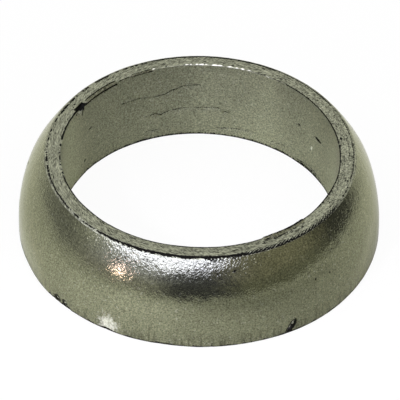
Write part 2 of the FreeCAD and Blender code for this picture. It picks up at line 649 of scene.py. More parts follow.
@dataclass(frozen=True)
class Flash(Mark):
    """A ragged lip of flash on the land's inner edge, which stands up or leans into the bore."""

    span: Span
    rise: float
    lean: float
    width: float
    # How far down the bore wall it starts, and how dark its folds are: painted shade under the lip, and
    # the dark line where it meets the land
    drop: float = 0.45
    dark: float = 0.8
    # How full it is at least, how much more it can be, and over what turn that changes
    least: float = 0.75
    more: float = 0.6
    change_turn: float = 1.3
    # The widths of its folds on the land and on the bore wall, how brown it is, and how that fades
    land_fold: float = 0.13
    bore_fold: float = 0.16
    brown: float = 0.85
    brown_fade: float = 0.15

    @property
    def reach(self) -> Span:
        """The stretch round the ring outside which the lip does nothing."""
        return Span(self.span.start - self.span.fade, self.span.end + self.span.fade)

    def press(self, place: Place, touch: Touch, sizes: RingSizes) -> None:
        """Draw the edge up and inwards, and darken the folds beside it, with painted shade under the lip.

        Args:
            place: A place on the plain ring.
            touch: What the marks do there, which takes this mark's part.
            sizes: The sizes of the plain ring.
        """
        if place.wall not in (Wall.LAND, Wall.BORE):
            return
        ragged = min(self.least + self.more * abs(flutter(place.azimuth, self.change_turn, 2.0)), 1.0)
        share = self.span.share(place.azimuth) * ragged
        from_edge = place.radius - sizes.bore_radius
        drop = sizes.land_height - place.height
        if place.wall is Wall.LAND:
            on_top = smooth_step(1.0 - from_edge / self.width)
            fold = bell((from_edge - self.width) / self.land_fold)
            skirt = smooth_step((self.width - from_edge) / self.brown_fade + 0.5)
        else:
            on_top = 1.0
            fold = bell((drop - self.drop) / self.bore_fold)
            skirt = 1.0
        drawn = share * on_top * smooth_step(1.0 - drop / self.drop)
        if drawn == 0.0:
            return
        touch.upward += self.rise * drawn
        touch.outward -= self.lean * drawn
        touch.darken(self.dark * share * fold)
        touch.brown = max(touch.brown, self.brown * share * skirt)


@dataclass(frozen=True)
class FootShade(Mark):
    """Painted shade: the thin dark rims along the foot, inside and outside, where the ring meets the
    floor.
    """

    # How high the rims reach inside and outside, and how dark they are on the whole
    inner_rise: float = 0.42
    outer_rise: float = 0.52
    inner_share: float = 0.84
    outer_share: float = 0.76
    # How much the outer rim's height and both rims' darkness change, and over what turns
    rise_change: float = 0.25
    share_change: float = 0.5
    rise_turn: float = 2.1
    share_turn: float = 1.3
    darkest: float = 0.9

    @property
    def reach(self) -> Span:
        """The stretch round the ring outside which the rims do nothing."""
        return Span(0.0, FULL_TURN)

    def press(self, place: Place, touch: Touch, sizes: RingSizes) -> None:
        """Paint shade along the lowest edge of both walls, in a broken line.

        Args:
            place: A place on the plain ring.
            touch: What the marks do there, which takes this mark's part.
            sizes: The sizes of the plain ring; not used.
        """
        if place.wall is Wall.BORE:
            rise = self.inner_rise
            share = self.inner_share
        else:
            change = self.rise_change * flutter(place.azimuth, self.rise_turn, 8.0)
            rise = self.outer_rise * (1.0 + change)
            share = self.outer_share
        if place.wall not in (Wall.BORE, Wall.BAND, Wall.FOOT) or place.height > 2.0 * rise:
            return
        near = 1.0 - smooth_step(place.height / rise - 0.5)
        broken = share + self.share_change * flutter(place.azimuth, self.share_turn, place.radius)
        touch.darken(near * min(max(broken, 0.0), self.darkest))


@dataclass
class Skin:
    """The names of the mesh attributes that the finish reads."""

    graphite: str = "graphite"
    pitted: str = "pitted"
    burnish: str = "burnish"
    brown: str = "brown"
    land: str = "land"
    bore: str = "bore"
    fold: str = "fold"
    tone: str = "tone"

    def layers(self, bm: bmesh.types.BMesh) -> Layers:
        """Make one layer of numbers for each attribute.

        Args:
            bm: The mesh that takes the layers.

        Returns:
            The layers by their names.
        """
        names = (
            self.graphite, self.pitted, self.burnish, self.brown,
            self.land, self.bore, self.fold, self.tone,
        )
        for name in names:
            bm.verts.layers.float.new(name)
        return {name: bm.verts.layers.float[name] for name in names}


@dataclass
class RingBlank:
    """The plain ring: its section, turned about the axis of the bore."""

    sizes: RingSizes
    # How often the turned sector is doubled, and its columns of faces
    doublings: int = 3
    columns_each: int = 80
    # Rings of faces on each stretch of the section, and the height of the bore's finer top
    bore_rings: int = 21
    bore_top: float = 1.2
    bore_top_rings: int = 6
    land_rings: int = 12
    rim_rings: int = 3
    seat_rings: int = 44
    band_rings: int = 8
    corner_rings: int = 2
    foot_rings: int = 4

    def draw_section(self, bm: bmesh.types.BMesh) -> None:
        """Draw the closed outline of the section, as edges in the XZ plane.

        Args:
            bm: The empty mesh that takes the outline.
        """
        sizes = self.sizes
        bore = sizes.bore_radius
        top = sizes.land_height
        start = bm.verts.new((bore, 0.0, sizes.edge_break))
        corner = start
        runs = {}
        for radius, height, rings in (
            (bore + sizes.edge_break, 0.0, self.corner_rings),
            (sizes.outer_radius - sizes.edge_break, 0.0, self.foot_rings),
            (sizes.outer_radius, sizes.edge_break, self.corner_rings),
            (sizes.outer_radius, sizes.band_height, self.band_rings),
        ):
            corner = self.extend(bm, corner, radius, height, rings, runs)
        arc = bmesh.ops.spin(
            bm, geom=[corner], cent=(sizes.outer_radius - sizes.seat_radius, 0.0, sizes.band_height),
            axis=(0.0, -1.0, 0.0), steps=self.seat_rings, use_duplicate=False,
            angle=math.asin((top - sizes.edge_break - sizes.band_height) / sizes.seat_radius),
        )
        corner = next(part for part in arc["geom_last"] if isinstance(part, bmesh.types.BMVert))
        for radius, height, rings in (
            (sizes.land_edge - sizes.edge_break, top, self.rim_rings),
            (bore + sizes.inner_break, top, self.land_rings),
            (bore, top - sizes.inner_break, 1),
            (bore, top - self.bore_top, self.bore_top_rings),
        ):
            corner = self.extend(bm, corner, radius, height, rings, runs)
        runs[bm.edges.new((corner, start))] = self.bore_rings
        for edge, rings in runs.items():
            if rings > 1:
                bmesh.ops.subdivide_edges(bm, edges=[edge], cuts=rings - 1)

    @staticmethod
    def extend(
        bm: bmesh.types.BMesh, start: bmesh.types.BMVert, radius: float, height: float, rings: int,
        runs: dict[bmesh.types.BMEdge, int],
    ) -> bmesh.types.BMVert:
        """Draw a straight run of the section.

        Args:
            bm: The mesh that holds the outline.
            start: The vertex that the run starts from.
            radius: The distance of the run's end from the axis.
            height: The height of the run's end.
            rings: How many edges the run will be divided into.
            runs: The runs so far, each with its number of edges, which takes this one.

        Returns:
            The vertex at the end of the run.
        """
        grown = bmesh.ops.extrude_vert_indiv(bm, verts=[start])
        end = grown["verts"][0]
        end.co = (radius, 0.0, height)
        runs[grown["edges"][0]] = rings
        return end

    def turn(self) -> bmesh.types.BMesh:
        """Turn the section into the whole ring: a sector by a spin, then copies of it.

        Returns:
            The closed mesh, with its faces pointing outwards.
        """
        bm = bmesh.new()
        self.draw_section(bm)
        sector = math.tau / 2**self.doublings
        bmesh.ops.spin(
            bm, geom=bm.verts[:] + bm.edges[:], cent=(0.0, 0.0, 0.0), axis=(0.0, 0.0, 1.0),
            angle=sector, steps=self.columns_each, use_duplicate=False,
        )
        for doubling in range(self.doublings):
            copy = bmesh.ops.duplicate(bm, geom=bm.verts[:] + bm.edges[:] + bm.faces[:])
            verts = [part for part in copy["geom"] if isinstance(part, bmesh.types.BMVert)]
            spread = Matrix.Rotation(sector * 2**doubling, 3, "Z")
            bmesh.ops.rotate(bm, verts=verts, cent=(0.0, 0.0, 0.0), matrix=spread)
        bmesh.ops.remove_doubles(bm, verts=bm.verts[:], dist=TINY)
        bmesh.ops.recalc_face_normals(bm, faces=bm.faces[:])
        return bm


@dataclass(frozen=True)
class Window:
    """A stretch of the ring whose faces are divided further, for its fine marks."""

    span: Span
    # Its lowest and highest place, and its least and greatest radius
    low: float
    high: float
    near: float = 0.0
    far: float = math.inf
    # How often its faces are divided
    times: int = 1

    def holds(self, point: Vector) -> bool:
        """Say whether a point is in the window.

        Args:
            point: The point, in millimetres.

        Returns:
            Whether its azimuth, height and radius are all in the window's ranges.
        """
        radius = math.hypot(point.x, point.y)
        if not (self.low < point.z < self.high and self.near < radius < self.far):
            return False
        azimuth = math.degrees(math.atan2(point.y, point.x))
        return abs(turn_between(azimuth, self.span.centre)) < self.span.half


@dataclass
class CrackCutter:
    """Cuts the hairline cracks: bends a ring of the mesh along each and folds it inwards."""

    sizes: RingSizes
    cracks: tuple[Crack, ...]
    # How dark a crack's shoulders are, next to its bottom
    shoulder_share: float = 0.4

    def rings(self, bm: bmesh.types.BMesh) -> dict[Wall, list[float]]:
        """List where the rings of vertices lie on each wall of the plain ring.

        Args:
            bm: The mesh of the plain ring.

        Returns:
            For each wall, the heights of its rings of vertices, or their radii on the land.
        """
        rings = {wall: set() for wall in Wall}
        for vert in bm.verts:
            place = Place.at(vert.co, self.sizes)
            rings[place.wall].add(round(place.across, 3))
        return {wall: sorted(found) for wall, found in rings.items()}

    def limits(self, wall: Wall) -> tuple[float, float]:
        """Give the two ends of a wall, between which its vertices may slide.

        Args:
            wall: The bore wall or the land.

        Returns:
            The lowest and the highest height, or the least and the greatest radius.
        """
        sizes = self.sizes
        if wall is Wall.LAND:
            return sizes.bore_radius + sizes.inner_break, sizes.land_edge - sizes.edge_break
        return sizes.edge_break, sizes.land_height - sizes.inner_break

    def bend(self, bm: bmesh.types.BMesh, crack: Crack, lane: float) -> list[bmesh.types.BMEdge]:
        """Slide the vertices of a wall until one ring of them follows the crack.

        Args:
            bm: The mesh of the ring.
            crack: The crack to follow.
            lane: The height or radius of the ring that is bent.

        Returns:
            The edges of that ring along the crack.
        """
        low, high = self.limits(crack.wall)
        low = max(low, lane - crack.pull)
        high = min(high, lane + crack.pull)
        followers = set()
        for vert in bm.verts:
            place = Place.at(vert.co, self.sizes)
            share = crack.span.share(place.azimuth)
            if share == 0.0 or place.wall is not crack.wall or not low < place.across < high:
                continue
            target = lane + share * (crack.place_at(place.azimuth) - lane)
            if abs(place.across - lane) < TINY:
                moved = target
                if abs(turn_between(place.azimuth, crack.span.centre)) <= crack.span.half:
                    followers.add(vert)
            elif place.across < lane:
                moved = low + (place.across - low) * (target - low) / (lane - low)
            else:
                moved = high - (high - place.across) * (high - target) / (high - lane)
            if crack.wall is Wall.LAND:
                vert.co.x *= moved / place.radius
                vert.co.y *= moved / place.radius
            else:
                vert.co.z = moved
        return [edge for edge in bm.edges if edge.verts[0] in followers and edge.verts[1] in followers]

    def cut(self, bm: bmesh.types.BMesh, layers: Layers, skin: Skin) -> None:
        """Open every crack as a narrow strip, and note how deep and how dark its vertices are.

        Args:
            bm: The mesh of the ring.
            layers: The layers of numbers of the mesh.
            skin: The names of those layers.
        """
        rings = self.rings(bm)
        chains = []
        for crack in self.cracks:
            lane = min(rings[crack.wall], key=lambda place: abs(place - crack.level))
            chains.append((crack, self.bend(bm, crack, lane)))
        for crack, chain in chains:
            strip = bmesh.ops.bevel(
                bm, geom=chain, offset=crack.width / 2, offset_type="OFFSET", segments=2,
                profile=0.5, affect="EDGES", clamp_overlap=False, material=-1,
            )
            faces = set(strip["faces"])
            for vert in strip["verts"]:
                strength = crack.strength(Place.at(vert.co, self.sizes).azimuth)
                inside = all(face in faces for face in vert.link_faces)
                share = 1.0 if inside else self.shoulder_share
                vert[layers[skin.graphite]] = crack.darkness * strength * share
                vert[layers[skin.fold]] = crack.depth * strength if inside else 0.0


@dataclass(frozen=True)
class LitBand:
    """An upright band of painted light on the bore wall, which paints the wall paler."""

    azimuth: float
    half_turn: float
    lift: float

    def share(self, azimuth: float) -> float:
        """Give how much paler the painted light makes the wall at an azimuth."""
        return self.lift * bell(turn_between(azimuth, self.azimuth) / self.half_turn)


@dataclass
class GasketRing:
    """The whole gasket: the turned ring with its relief, cracks, chips and worn edges."""

    sizes: RingSizes
    name: str = "pressed_ring"
    skin: Skin = field(default_factory=Skin)
    # Relief of the pressed skin: size and height of its swells, its grain and its long sag
    swell_size: float = 1.5
    swell_height: float = 0.02
    grain_size: float = 0.8
    grain_height: float = 0.012
    sag_size: float = 14.0
    sag_height: float = 0.09
    # The land's grain of two sizes, and the foot's
    land_grain_sizes: tuple[float, float] = (0.5, 2.0)
    land_grain_height: float = 0.02
    foot_grain_size: float = 1.0
    foot_grain_height: float = 0.01
    # The plain tone of the bore wall, how much it fades upwards, and the upright bands of painted light
    # where it is paler
    bore_tone: float = 1.09
    bore_fade: float = 0.26
    polishes: tuple[LitBand, ...] = (
        LitBand(163, 13, 0.55), LitBand(88, 8, 0.20), LitBand(75, 9, 0.17), LitBand(61, 9, 0.38),
        LitBand(36, 18, 0.17), LitBand(15, 8, 0.22),
    )
    # Where the seat's front has painted dark specks in its highlight, standing in for the dark its bumps
    # mirror: the stretch, the height where they start, and how far they grow
    pitted_front: Span = Span(234.0, 286.0, 20.0)
    pitted_from: float = 12.0
    pitted_fade: float = 2.5
    # Pits along the foot's outer edge: azimuth and height of each
    foot_pits: tuple[tuple[float, float], ...] = (
        (217.2, 0.5), (221.2, 0.5), (224.6, 0.6), (225.6, 0.5), (226.4, 0.4),
    )
    # The bore wall's flats: their turn in degrees and their height
    facet_turn: float = 11.0
    facet_height: float = 0.10
    # Edges that bend more than this look sharp, and the marks are sorted by sectors of this turn
    sharp_angle: float = 40.0
    sector: float = 5.0
    # Radii of the burrs with painted glints and of the drawn-out flecks on the land, and the number of
    # those
    burr_radius: float = 26.28
    scratch_radius: float = 27.4
    scratches: int = 15

    def cracks(self) -> tuple[Crack, ...]:
        """Give the hairline cracks of the bore wall and the land.

        Returns:
            The cracks of the bore wall, then the land's.
        """
        upper = (
            (126.7, 11.46), (117.9, 11.25), (110.5, 10.68), (106.5, 10.87),
            (101.3, 11.83), (97.0, 12.50), (91.5, 12.65), (88.1, 12.32),
        )
        middle = (
            (114.3, 6.01), (110.0, 6.45), (107.8, 5.94), (103.4, 6.60), (97.8, 6.93),
            (90.5, 6.91), (83.2, 7.09), (80.2, 6.40), (77.1, 6.03),
        )
        on_land = ((296.8, 26.8), (305.0, 27.1), (312.1, 27.6))
        return (
            Crack(Wall.BORE, upper),
            Crack(Wall.BORE, middle),
            Crack(Wall.BORE, ((114.5, 2.35), (107.7, 2.24)), darkness=0.75),
            Crack(Wall.BORE, ((83.9, 1.96), (72.9, 2.41), (64.7, 2.63)), darkness=0.8),
            Crack(Wall.BORE, ((58.8, 1.84), (51.1, 2.37)), darkness=0.75),
            Crack(Wall.BORE, ((44.7, 1.03), (35.6, 1.52), (21.6, 0.70)), darkness=0.85, pull=1.2),
            Crack(Wall.BORE, ((145.3, 10.15), (142.6, 10.32)), width=0.3),
            Crack(Wall.LAND, on_land, pull=1.0, waver=0.12),
        )

    def edge_lines(self) -> tuple[EdgeLine, ...]:
        """Give the dark lines along both edges of the land, going round the ring.

        Returns:
            The lines, those of the outer edge first.
        """
        inner = LandEdge.INNER
        outer = LandEdge.OUTER
        return (
            EdgeLine(outer, Span(-15, 30, 4.0), Stroke.SOLID, darkness=0.6, inset=0.2),
            EdgeLine(outer, Span(30, 60, 4.0), Stroke.SOLID, width=0.16, darkness=0.8, inset=0.3),
            EdgeLine(outer, Span(60, 110.3, 2.0), Stroke.SOLID, width=0.22, inset=0.3),
            EdgeLine(outer, Span(111.8, 122.6, 0.5), Stroke.BROKEN, width=0.27, inset=0.36),
            EdgeLine(outer, Span(123.5, 158, 2.0), Stroke.BROKEN, width=0.22, inset=0.3),
            EdgeLine(outer, Span(158, 195, 2.0), Stroke.DOTTED, width=0.17, inset=0.2),
            EdgeLine(outer, Span(194, 213, 2.0), Stroke.SOLID, width=0.12, darkness=0.85, inset=0.16),
            EdgeLine(outer, Span(212, 236, 2.0), Stroke.BROKEN, darkness=0.8),
            # These four, above the front highlight: partly bare graphite, partly painted dark reflection
            # of the dark overhead and painted shade at the land's corner
            EdgeLine(outer, Span(231, 243, 3.0), Stroke.FRAYED, width=0.13, inset=0.14, rib_length=0.25),
            EdgeLine(outer, Span(240, 253, 3.0), Stroke.FRAYED, width=0.17, inset=0.14, rib_length=0.4),
            EdgeLine(outer, Span(250, 276, 4.0), Stroke.FRAYED, width=0.19, inset=0.16, rib_length=0.32),
            EdgeLine(outer, Span(273, 288, 3.0), Stroke.FRAYED, width=0.17, inset=0.1, rib_length=0.9),
            EdgeLine(outer, Span(283.4, 308, 3.0), Stroke.RIBBED, width=0.24, darkness=0.9, inset=-0.12),
            EdgeLine(
                outer, Span(306, 331.4, 4.0), Stroke.RIBBED,
                width=0.23, darkness=0.78, inset=-0.12, rib_length=0.8,
            ),
            EdgeLine(outer, Span(331, 345, 3.0), Stroke.BROKEN, darkness=0.7),
            EdgeLine(inner, Span(7.4, 52.0, 2.0), Stroke.SOLID, width=0.14, darkness=0.95),
            EdgeLine(inner, Span(50, 66, 2.0), Stroke.BROKEN, darkness=0.8),
            EdgeLine(inner, Span(110.8, 128.0, 2.0), Stroke.BROKEN, width=0.12, inset=-0.1),
            # Painted shadow under the lip of flash that leans into the bore
            EdgeLine(inner, Span(128.0, 147.6, 1.0), Stroke.SOLID, width=0.2, inset=-0.6),
            EdgeLine(inner, Span(152.4, 173.2, 1.0), Stroke.SOLID, width=0.2),
            EdgeLine(inner, Span(173, 203, 1.5), Stroke.DOTTED, width=0.18),
            EdgeLine(inner, Span(196.0, 296, 1.5), Stroke.SOLID, width=0.15, darkness=0.92, inset=0.12),
            EdgeLine(inner, Span(316.5, 367, 1.0), Stroke.SOLID, width=0.15, darkness=0.9, inset=0.12),
            EdgeLine(inner, Span(296, 306, 2.0), Stroke.BROKEN, width=0.16, inset=0.1),
            EdgeLine(inner, Span(306, 316.3, 0.6), Stroke.SOLID, width=0.24, inset=0.1),
        )

    def flecks(self) -> list[Fleck]:
        """Give the single dark pits, and the raised burrs with painted glints along the far inner edge.

        Returns:
            The burrs with painted glints, then the pits.
        """
        glint_burrs = (110.6, 96.3, 94.6, 92.1, 90.0, 88.3, 84.5, 82.3, 78.1, 75.1, 72.7, 69.7)
        bright = [
            Fleck(
                Wall.LAND, turn, self.burr_radius, bright=True,
                size=0.12 + 0.18 * abs(flutter(turn, 0.9, 3.0)),
                stretch=1.0 + 4.5 * abs(flutter(turn, 0.7, 5.0)),
            )
            for turn in glint_burrs
        ]
        return [
            *bright,
            Fleck(Wall.BORE, 135.4, 16.67),
            Fleck(Wall.BORE, 133.2, 14.6, size=0.26),
            Fleck(Wall.BORE, 106.0, 7.41),
            Fleck(Wall.BORE, 80.7, 8.14),
            Fleck(Wall.BORE, 43.7, 9.8, size=0.3, depth=0.1),
            # A painted glint on a small raised burr of the bore wall
            Fleck(Wall.BORE, 35.1, 6.26, size=0.24, bright=True),
            Fleck(Wall.BORE, 148.1, 3.44, size=0.3),
            Fleck(Wall.BORE, 141.8, 0.4, size=0.45),
            Fleck(Wall.BORE, 146.3, 0.45, size=0.45),
            Fleck(Wall.LAND, 62.6, 26.35, size=0.22),
            Fleck(Wall.LAND, 51.6, 26.94),
            Fleck(Wall.LAND, 10.7, 26.9, size=0.22, stretch=2.0),
            Fleck(Wall.LAND, 345.4, 28.4, size=0.25),
            Fleck(Wall.LAND, 331.0, 27.4, size=0.2),
            Fleck(Wall.SEAT, 282.6, 15.2, size=0.24, depth=0.04, stretch=1.6),
            Fleck(Wall.SEAT, 310.6, 9.4, size=0.24),
            Fleck(Wall.SEAT, 316.8, 9.0, size=0.2),
            Fleck(Wall.SEAT, 172.6, 10.7, size=0.4, depth=0.22),
            Fleck(Wall.SEAT, 11.0, 9.5, size=0.35, depth=0.16),
            Fleck(Wall.BAND, 269.0, 0.45, size=0.22),
            Fleck(Wall.BAND, 274.4, 0.35, size=0.22),
        ]

    def marks(self) -> list[Mark]:
        """Give every mark of the ring apart from the cracks.

        Returns:
            The marks, in the order in which they are pressed.
        """
        top = self.sizes.land_height
        return [
            Bite(151.2, top - 0.35, 3.2, 2.0, 0.7, 98.0, outside=False, rim=0.15, core=0.0, brown=0.6),
            # Painted shade: the black shadow inside the chip, darkened with no depth of its own
            Bite(150.6, top - 0.5, 4.2, 0.95, 0.0, 93.0, outside=False, give=0.15),
            Fleck(Wall.BORE, 148.8, top - 1.1, size=0.42),
            Fleck(Wall.BORE, 149.3, top - 1.6, size=0.3, stretch=0.8),
            Fleck(Wall.BORE, 149.7, top - 2.1, size=0.28, stretch=0.8),
            Fleck(Wall.LAND, 152.4, 27.3, size=0.24),
            Fleck(Wall.LAND, 150.6, 27.6, size=0.2),
            Fleck(Wall.LAND, 153.6, 26.9, size=0.2),
            FootShade(),
            *(Fleck(Wall.BAND, turn, rise, size=0.3) for turn, rise in self.foot_pits),
            # The first two nicks here have pale floors, painted highlights
            Bite(300.5, 1.75, 2.7, 0.95, 0.34, 34.0, ease=0.5, core=0.0, rim_width=0.23, shine=0.5),
            Bite(299.6, 1.0, 1.9, 0.8, 0.3, 46.0, ease=0.5, core=0.0, rim_width=0.2, shine=0.55),
            Bite(299.2, 0.4, 1.5, 0.45, 0.15, 84.0, core=0.8),
            Fleck(Wall.BAND, 303.4, 3.45, size=0.2),
            *(Bite(turn, 0.4, 1.3, 0.45, 0.3, 86.0) for turn in (224.0, 241.3)),
            Bite(219.3, 0.4, 1.3, 0.45, 0.3, 86.0, rim=0.5, core=0.1),
            # Two more nicks with pale floors, painted highlights
            Bite(220.9, 1.0, 1.7, 0.8, 0.12, 100.0, core=0.2, rim_width=0.27, shine=0.5),
            Bite(224.2, 1.05, 1.3, 0.9, 0.12, 62.0, core=0.2, rim_width=0.27, shine=0.5),
            *self.edge_lines(),
            *self.flecks(),
            Flash(Span(296.5, 316.3, fade=0.7), rise=0.3, lean=0.0, width=0.9),
            Flash(Span(128.4, 146.5, fade=1.2), rise=0.0, lean=0.35, width=0.5, dark=1.2),
            Flash(Span(111.1, 120.9, fade=1.0), rise=0.0, lean=0.3, width=0.34, dark=1.0),
            RubbedHighlight(241.5, 1.75, 2.05, 2.0, shine=0.72),
            Swell(213.0, 4.0, 7.0, 5.0, 0.2),
            Swell(158.0, 11.0, 12.0, 4.0, 0.2),
            Swell(22.0, 11.0, 12.0, 4.0, 0.18),
            Swell(0.0, 6.0, 13.0, 5.0, -0.12),
            Swell(235.0, 0.8, 28.0, 2.2, 0.14),
            Swell(308.0, 0.8, 24.0, 2.2, 0.14),
            Swell(344.0, 5.0, 6.0, 4.0, -0.15),
            Swell(262.0, 1.0, 4.0, 3.0, -0.2),
            Bite(240.8, 0.35, 2.6, 0.5, 0.2, 88.0, core=0.3),
            Bite(30.6, 10.05, 2.0, 0.4, 0.1, 88.0, outside=False, core=0.9),
            *(self.scratch(step) for step in range(self.scratches)),
        ]

    def scratch(self, step: int) -> Fleck:
        """Give one of the drawn-out flecks on the front of the land, by its place in their row."""
        radius = self.scratch_radius + 1.5 * flutter(step, 1.7, 6.0)
        return Fleck(Wall.LAND, 279.0 + 2.4 * step, radius, size=0.1, stretch=7.0)

    def windows(self) -> tuple[Window, ...]:
        """Give the stretches that need finer faces: the worn edges, the chip and the pits.

        Returns:
            The windows.
        """
        sizes = self.sizes
        rim_low = sizes.land_height - sizes.edge_break - 0.4
        return (
            Window(Span(176, 364), rim_low, math.inf, near=sizes.land_edge - 0.9),
            Window(Span(10, 206), sizes.land_height - 1.0, math.inf, far=sizes.bore_radius + 0.5),
            Window(Span(145, 157), sizes.land_height - 2.4, math.inf, far=sizes.bore_radius + 1.6),
            Window(Span(296, 305), 0.05, 4.2, near=sizes.outer_radius - 0.6),
            Window(Span(216, 227), 0.05, 2.2, near=sizes.outer_radius - 0.6),
            Window(Span(239, 244), 0.05, 1.4, near=sizes.outer_radius - 0.6),
            Window(Span(41.8, 45.6), 8.8, 10.8, far=sizes.bore_radius + 0.5, times=2),
            Window(Span(27.0, 34.2), 9.0, 11.2, far=sizes.bore_radius + 0.5, times=2),
        )

    def build(self) -> bpy.types.Object:
        """Build the ring's mesh and put it into the scene.

        Returns:
            The finished object, at the origin.
        """
        bm = RingBlank(self.sizes).turn()
        log.info("%s: turned, %d faces", self.name, len(bm.faces))
        layers = self.skin.layers(bm)
        CrackCutter(self.sizes, self.cracks()).cut(bm, layers, self.skin)
        log.info("%s: cracked, %d faces", self.name, len(bm.faces))
        self.refine(bm)
        log.info("%s: refined, %d faces", self.name, len(bm.faces))
        self.wear(bm, layers)
        bmesh.ops.scale(bm, vec=(MM, MM, MM), verts=bm.verts[:])
        mesh = bpy.data.meshes.new(self.name)
        bm.to_mesh(mesh)
        bm.free()
        mesh.shade_smooth()
        mesh.set_sharp_from_angle(angle=math.radians(self.sharp_angle))
        ring = bpy.data.objects.new(self.name, mesh)
        bpy.context.scene.collection.objects.link(ring)
        return ring

    def refine(self, bm: bmesh.types.BMesh) -> None:
        """Divide the faces of each window.

        Args:
            bm: The mesh of the ring.
        """
        for window in self.windows():
            for _ in range(window.times):
                faces = [face for face in bm.faces if window.holds(face.calc_center_median())]
                edges = {edge for face in faces for edge in face.edges}
                bmesh.ops.subdivide_edges(bm, edges=list(edges), cuts=1, use_grid_fill=True)

    def wear(self, bm: bmesh.types.BMesh, layers: Layers) -> None:
        """Give the plain ring its relief and its marks.

        Args:
            bm: The mesh of the ring.
            layers: The layers of numbers of the mesh, which already know the cracks.
        """
        nearby = self.sort_marks()
        bm.normal_update()
        moves = []
        for vert in bm.verts:
            place = Place.at(vert.co, self.sizes)
            touch = Touch(
                sink=vert[layers[self.skin.fold]] - self.relief(vert.co, place),
                graphite=vert[layers[self.skin.graphite]],
            )
            for mark in nearby[int(place.azimuth // self.sector)]:
                mark.press(place, touch, self.sizes)
            outward = Vector((vert.co.x, vert.co.y, 0.0)) * (touch.outward / place.radius)
            moves.append(outward - vert.normal * touch.sink + Vector((0.0, 0.0, touch.upward)))
            for name in (self.skin.graphite, self.skin.burnish, self.skin.brown):
                vert[layers[name]] = getattr(touch, name)
            vert[layers[self.skin.land]] = float(place.wall is Wall.LAND)
            vert[layers[self.skin.bore]] = float(place.wall is Wall.BORE)
            vert[layers[self.skin.tone]] = self.tone(place)
            vert[layers[self.skin.pitted]] = self.pitted(place)
        for vert, move in zip(bm.verts, moves):
            vert.co += move

    def pitted(self, place: Place) -> float:
        """Give how open the skin's pores are on the land, and how thick the painted dark specks are high
        up on the front of the seat.

        Args:
            place: A place on the plain ring.

        Returns:
            A share from 0, closed, to 1, open.
        """
        if place.wall is Wall.LAND:
            return 1.0
        if place.wall is not Wall.SEAT:
            return 0.0
        height = smooth_step((place.height - self.pitted_from) / self.pitted_fade)
        return self.pitted_front.share(place.azimuth) * height

    def tone(self, place: Place) -> float:
        """Give how pale the metal is at a place, next to 1 for plain metal, with the bore wall's painted
        light.

        Args:
            place: A place on the plain ring.

        Returns:
            The factor on the metal's colour.
        """
        if place.wall is not Wall.BORE:
            return 1.0
        fade = self.bore_fade * (0.5 - place.height / self.sizes.land_height)
        painted_light = sum(lit_band.share(place.azimuth) for lit_band in self.polishes)
        return self.bore_tone * (1.0 + fade + painted_light)

    def sort_marks(self) -> list[list[Mark]]:
        """List the marks that reach each sector of the ring.

        Returns:
            One list for each sector, going round from +X.
        """
        marks = self.marks()
        sectors = []
        for index in range(round(FULL_TURN / self.sector)):
            middle = (index + 0.5) * self.sector
            sectors.append([
                mark for mark in marks
                if abs(turn_between(middle, mark.reach.centre)) < mark.reach.half + self.sector
            ])
        return sectors

    def relief(self, point: Vector, place: Place) -> float:
        """Give the height of the pressed skin over the plain wall at a point.

        Args:
            point: The point, in millimetres.
            place: The same point as a place on the ring.

        Returns:
            The height in millimetres, with a minus sign for a hollow.
        """
        if place.wall is Wall.LAND:
            fine, coarse = self.land_grain_sizes
            return self.land_grain_height * (ripple(point, fine, 2.0) + ripple(point, coarse, 3.0))
        if place.wall is Wall.BORE:
            return self.facet_height * flutter(place.azimuth, self.facet_turn, 6.0)
        if place.wall is Wall.FOOT:
            return self.foot_grain_height * ripple(point, self.foot_grain_size, 6.0)
        return (
            self.sag_height * ripple(point, self.sag_size, 1.0)
            + self.swell_height * ripple(point, self.swell_size, 3.0)
            + self.grain_height * ripple(point, self.grain_size, 4.0)
        )


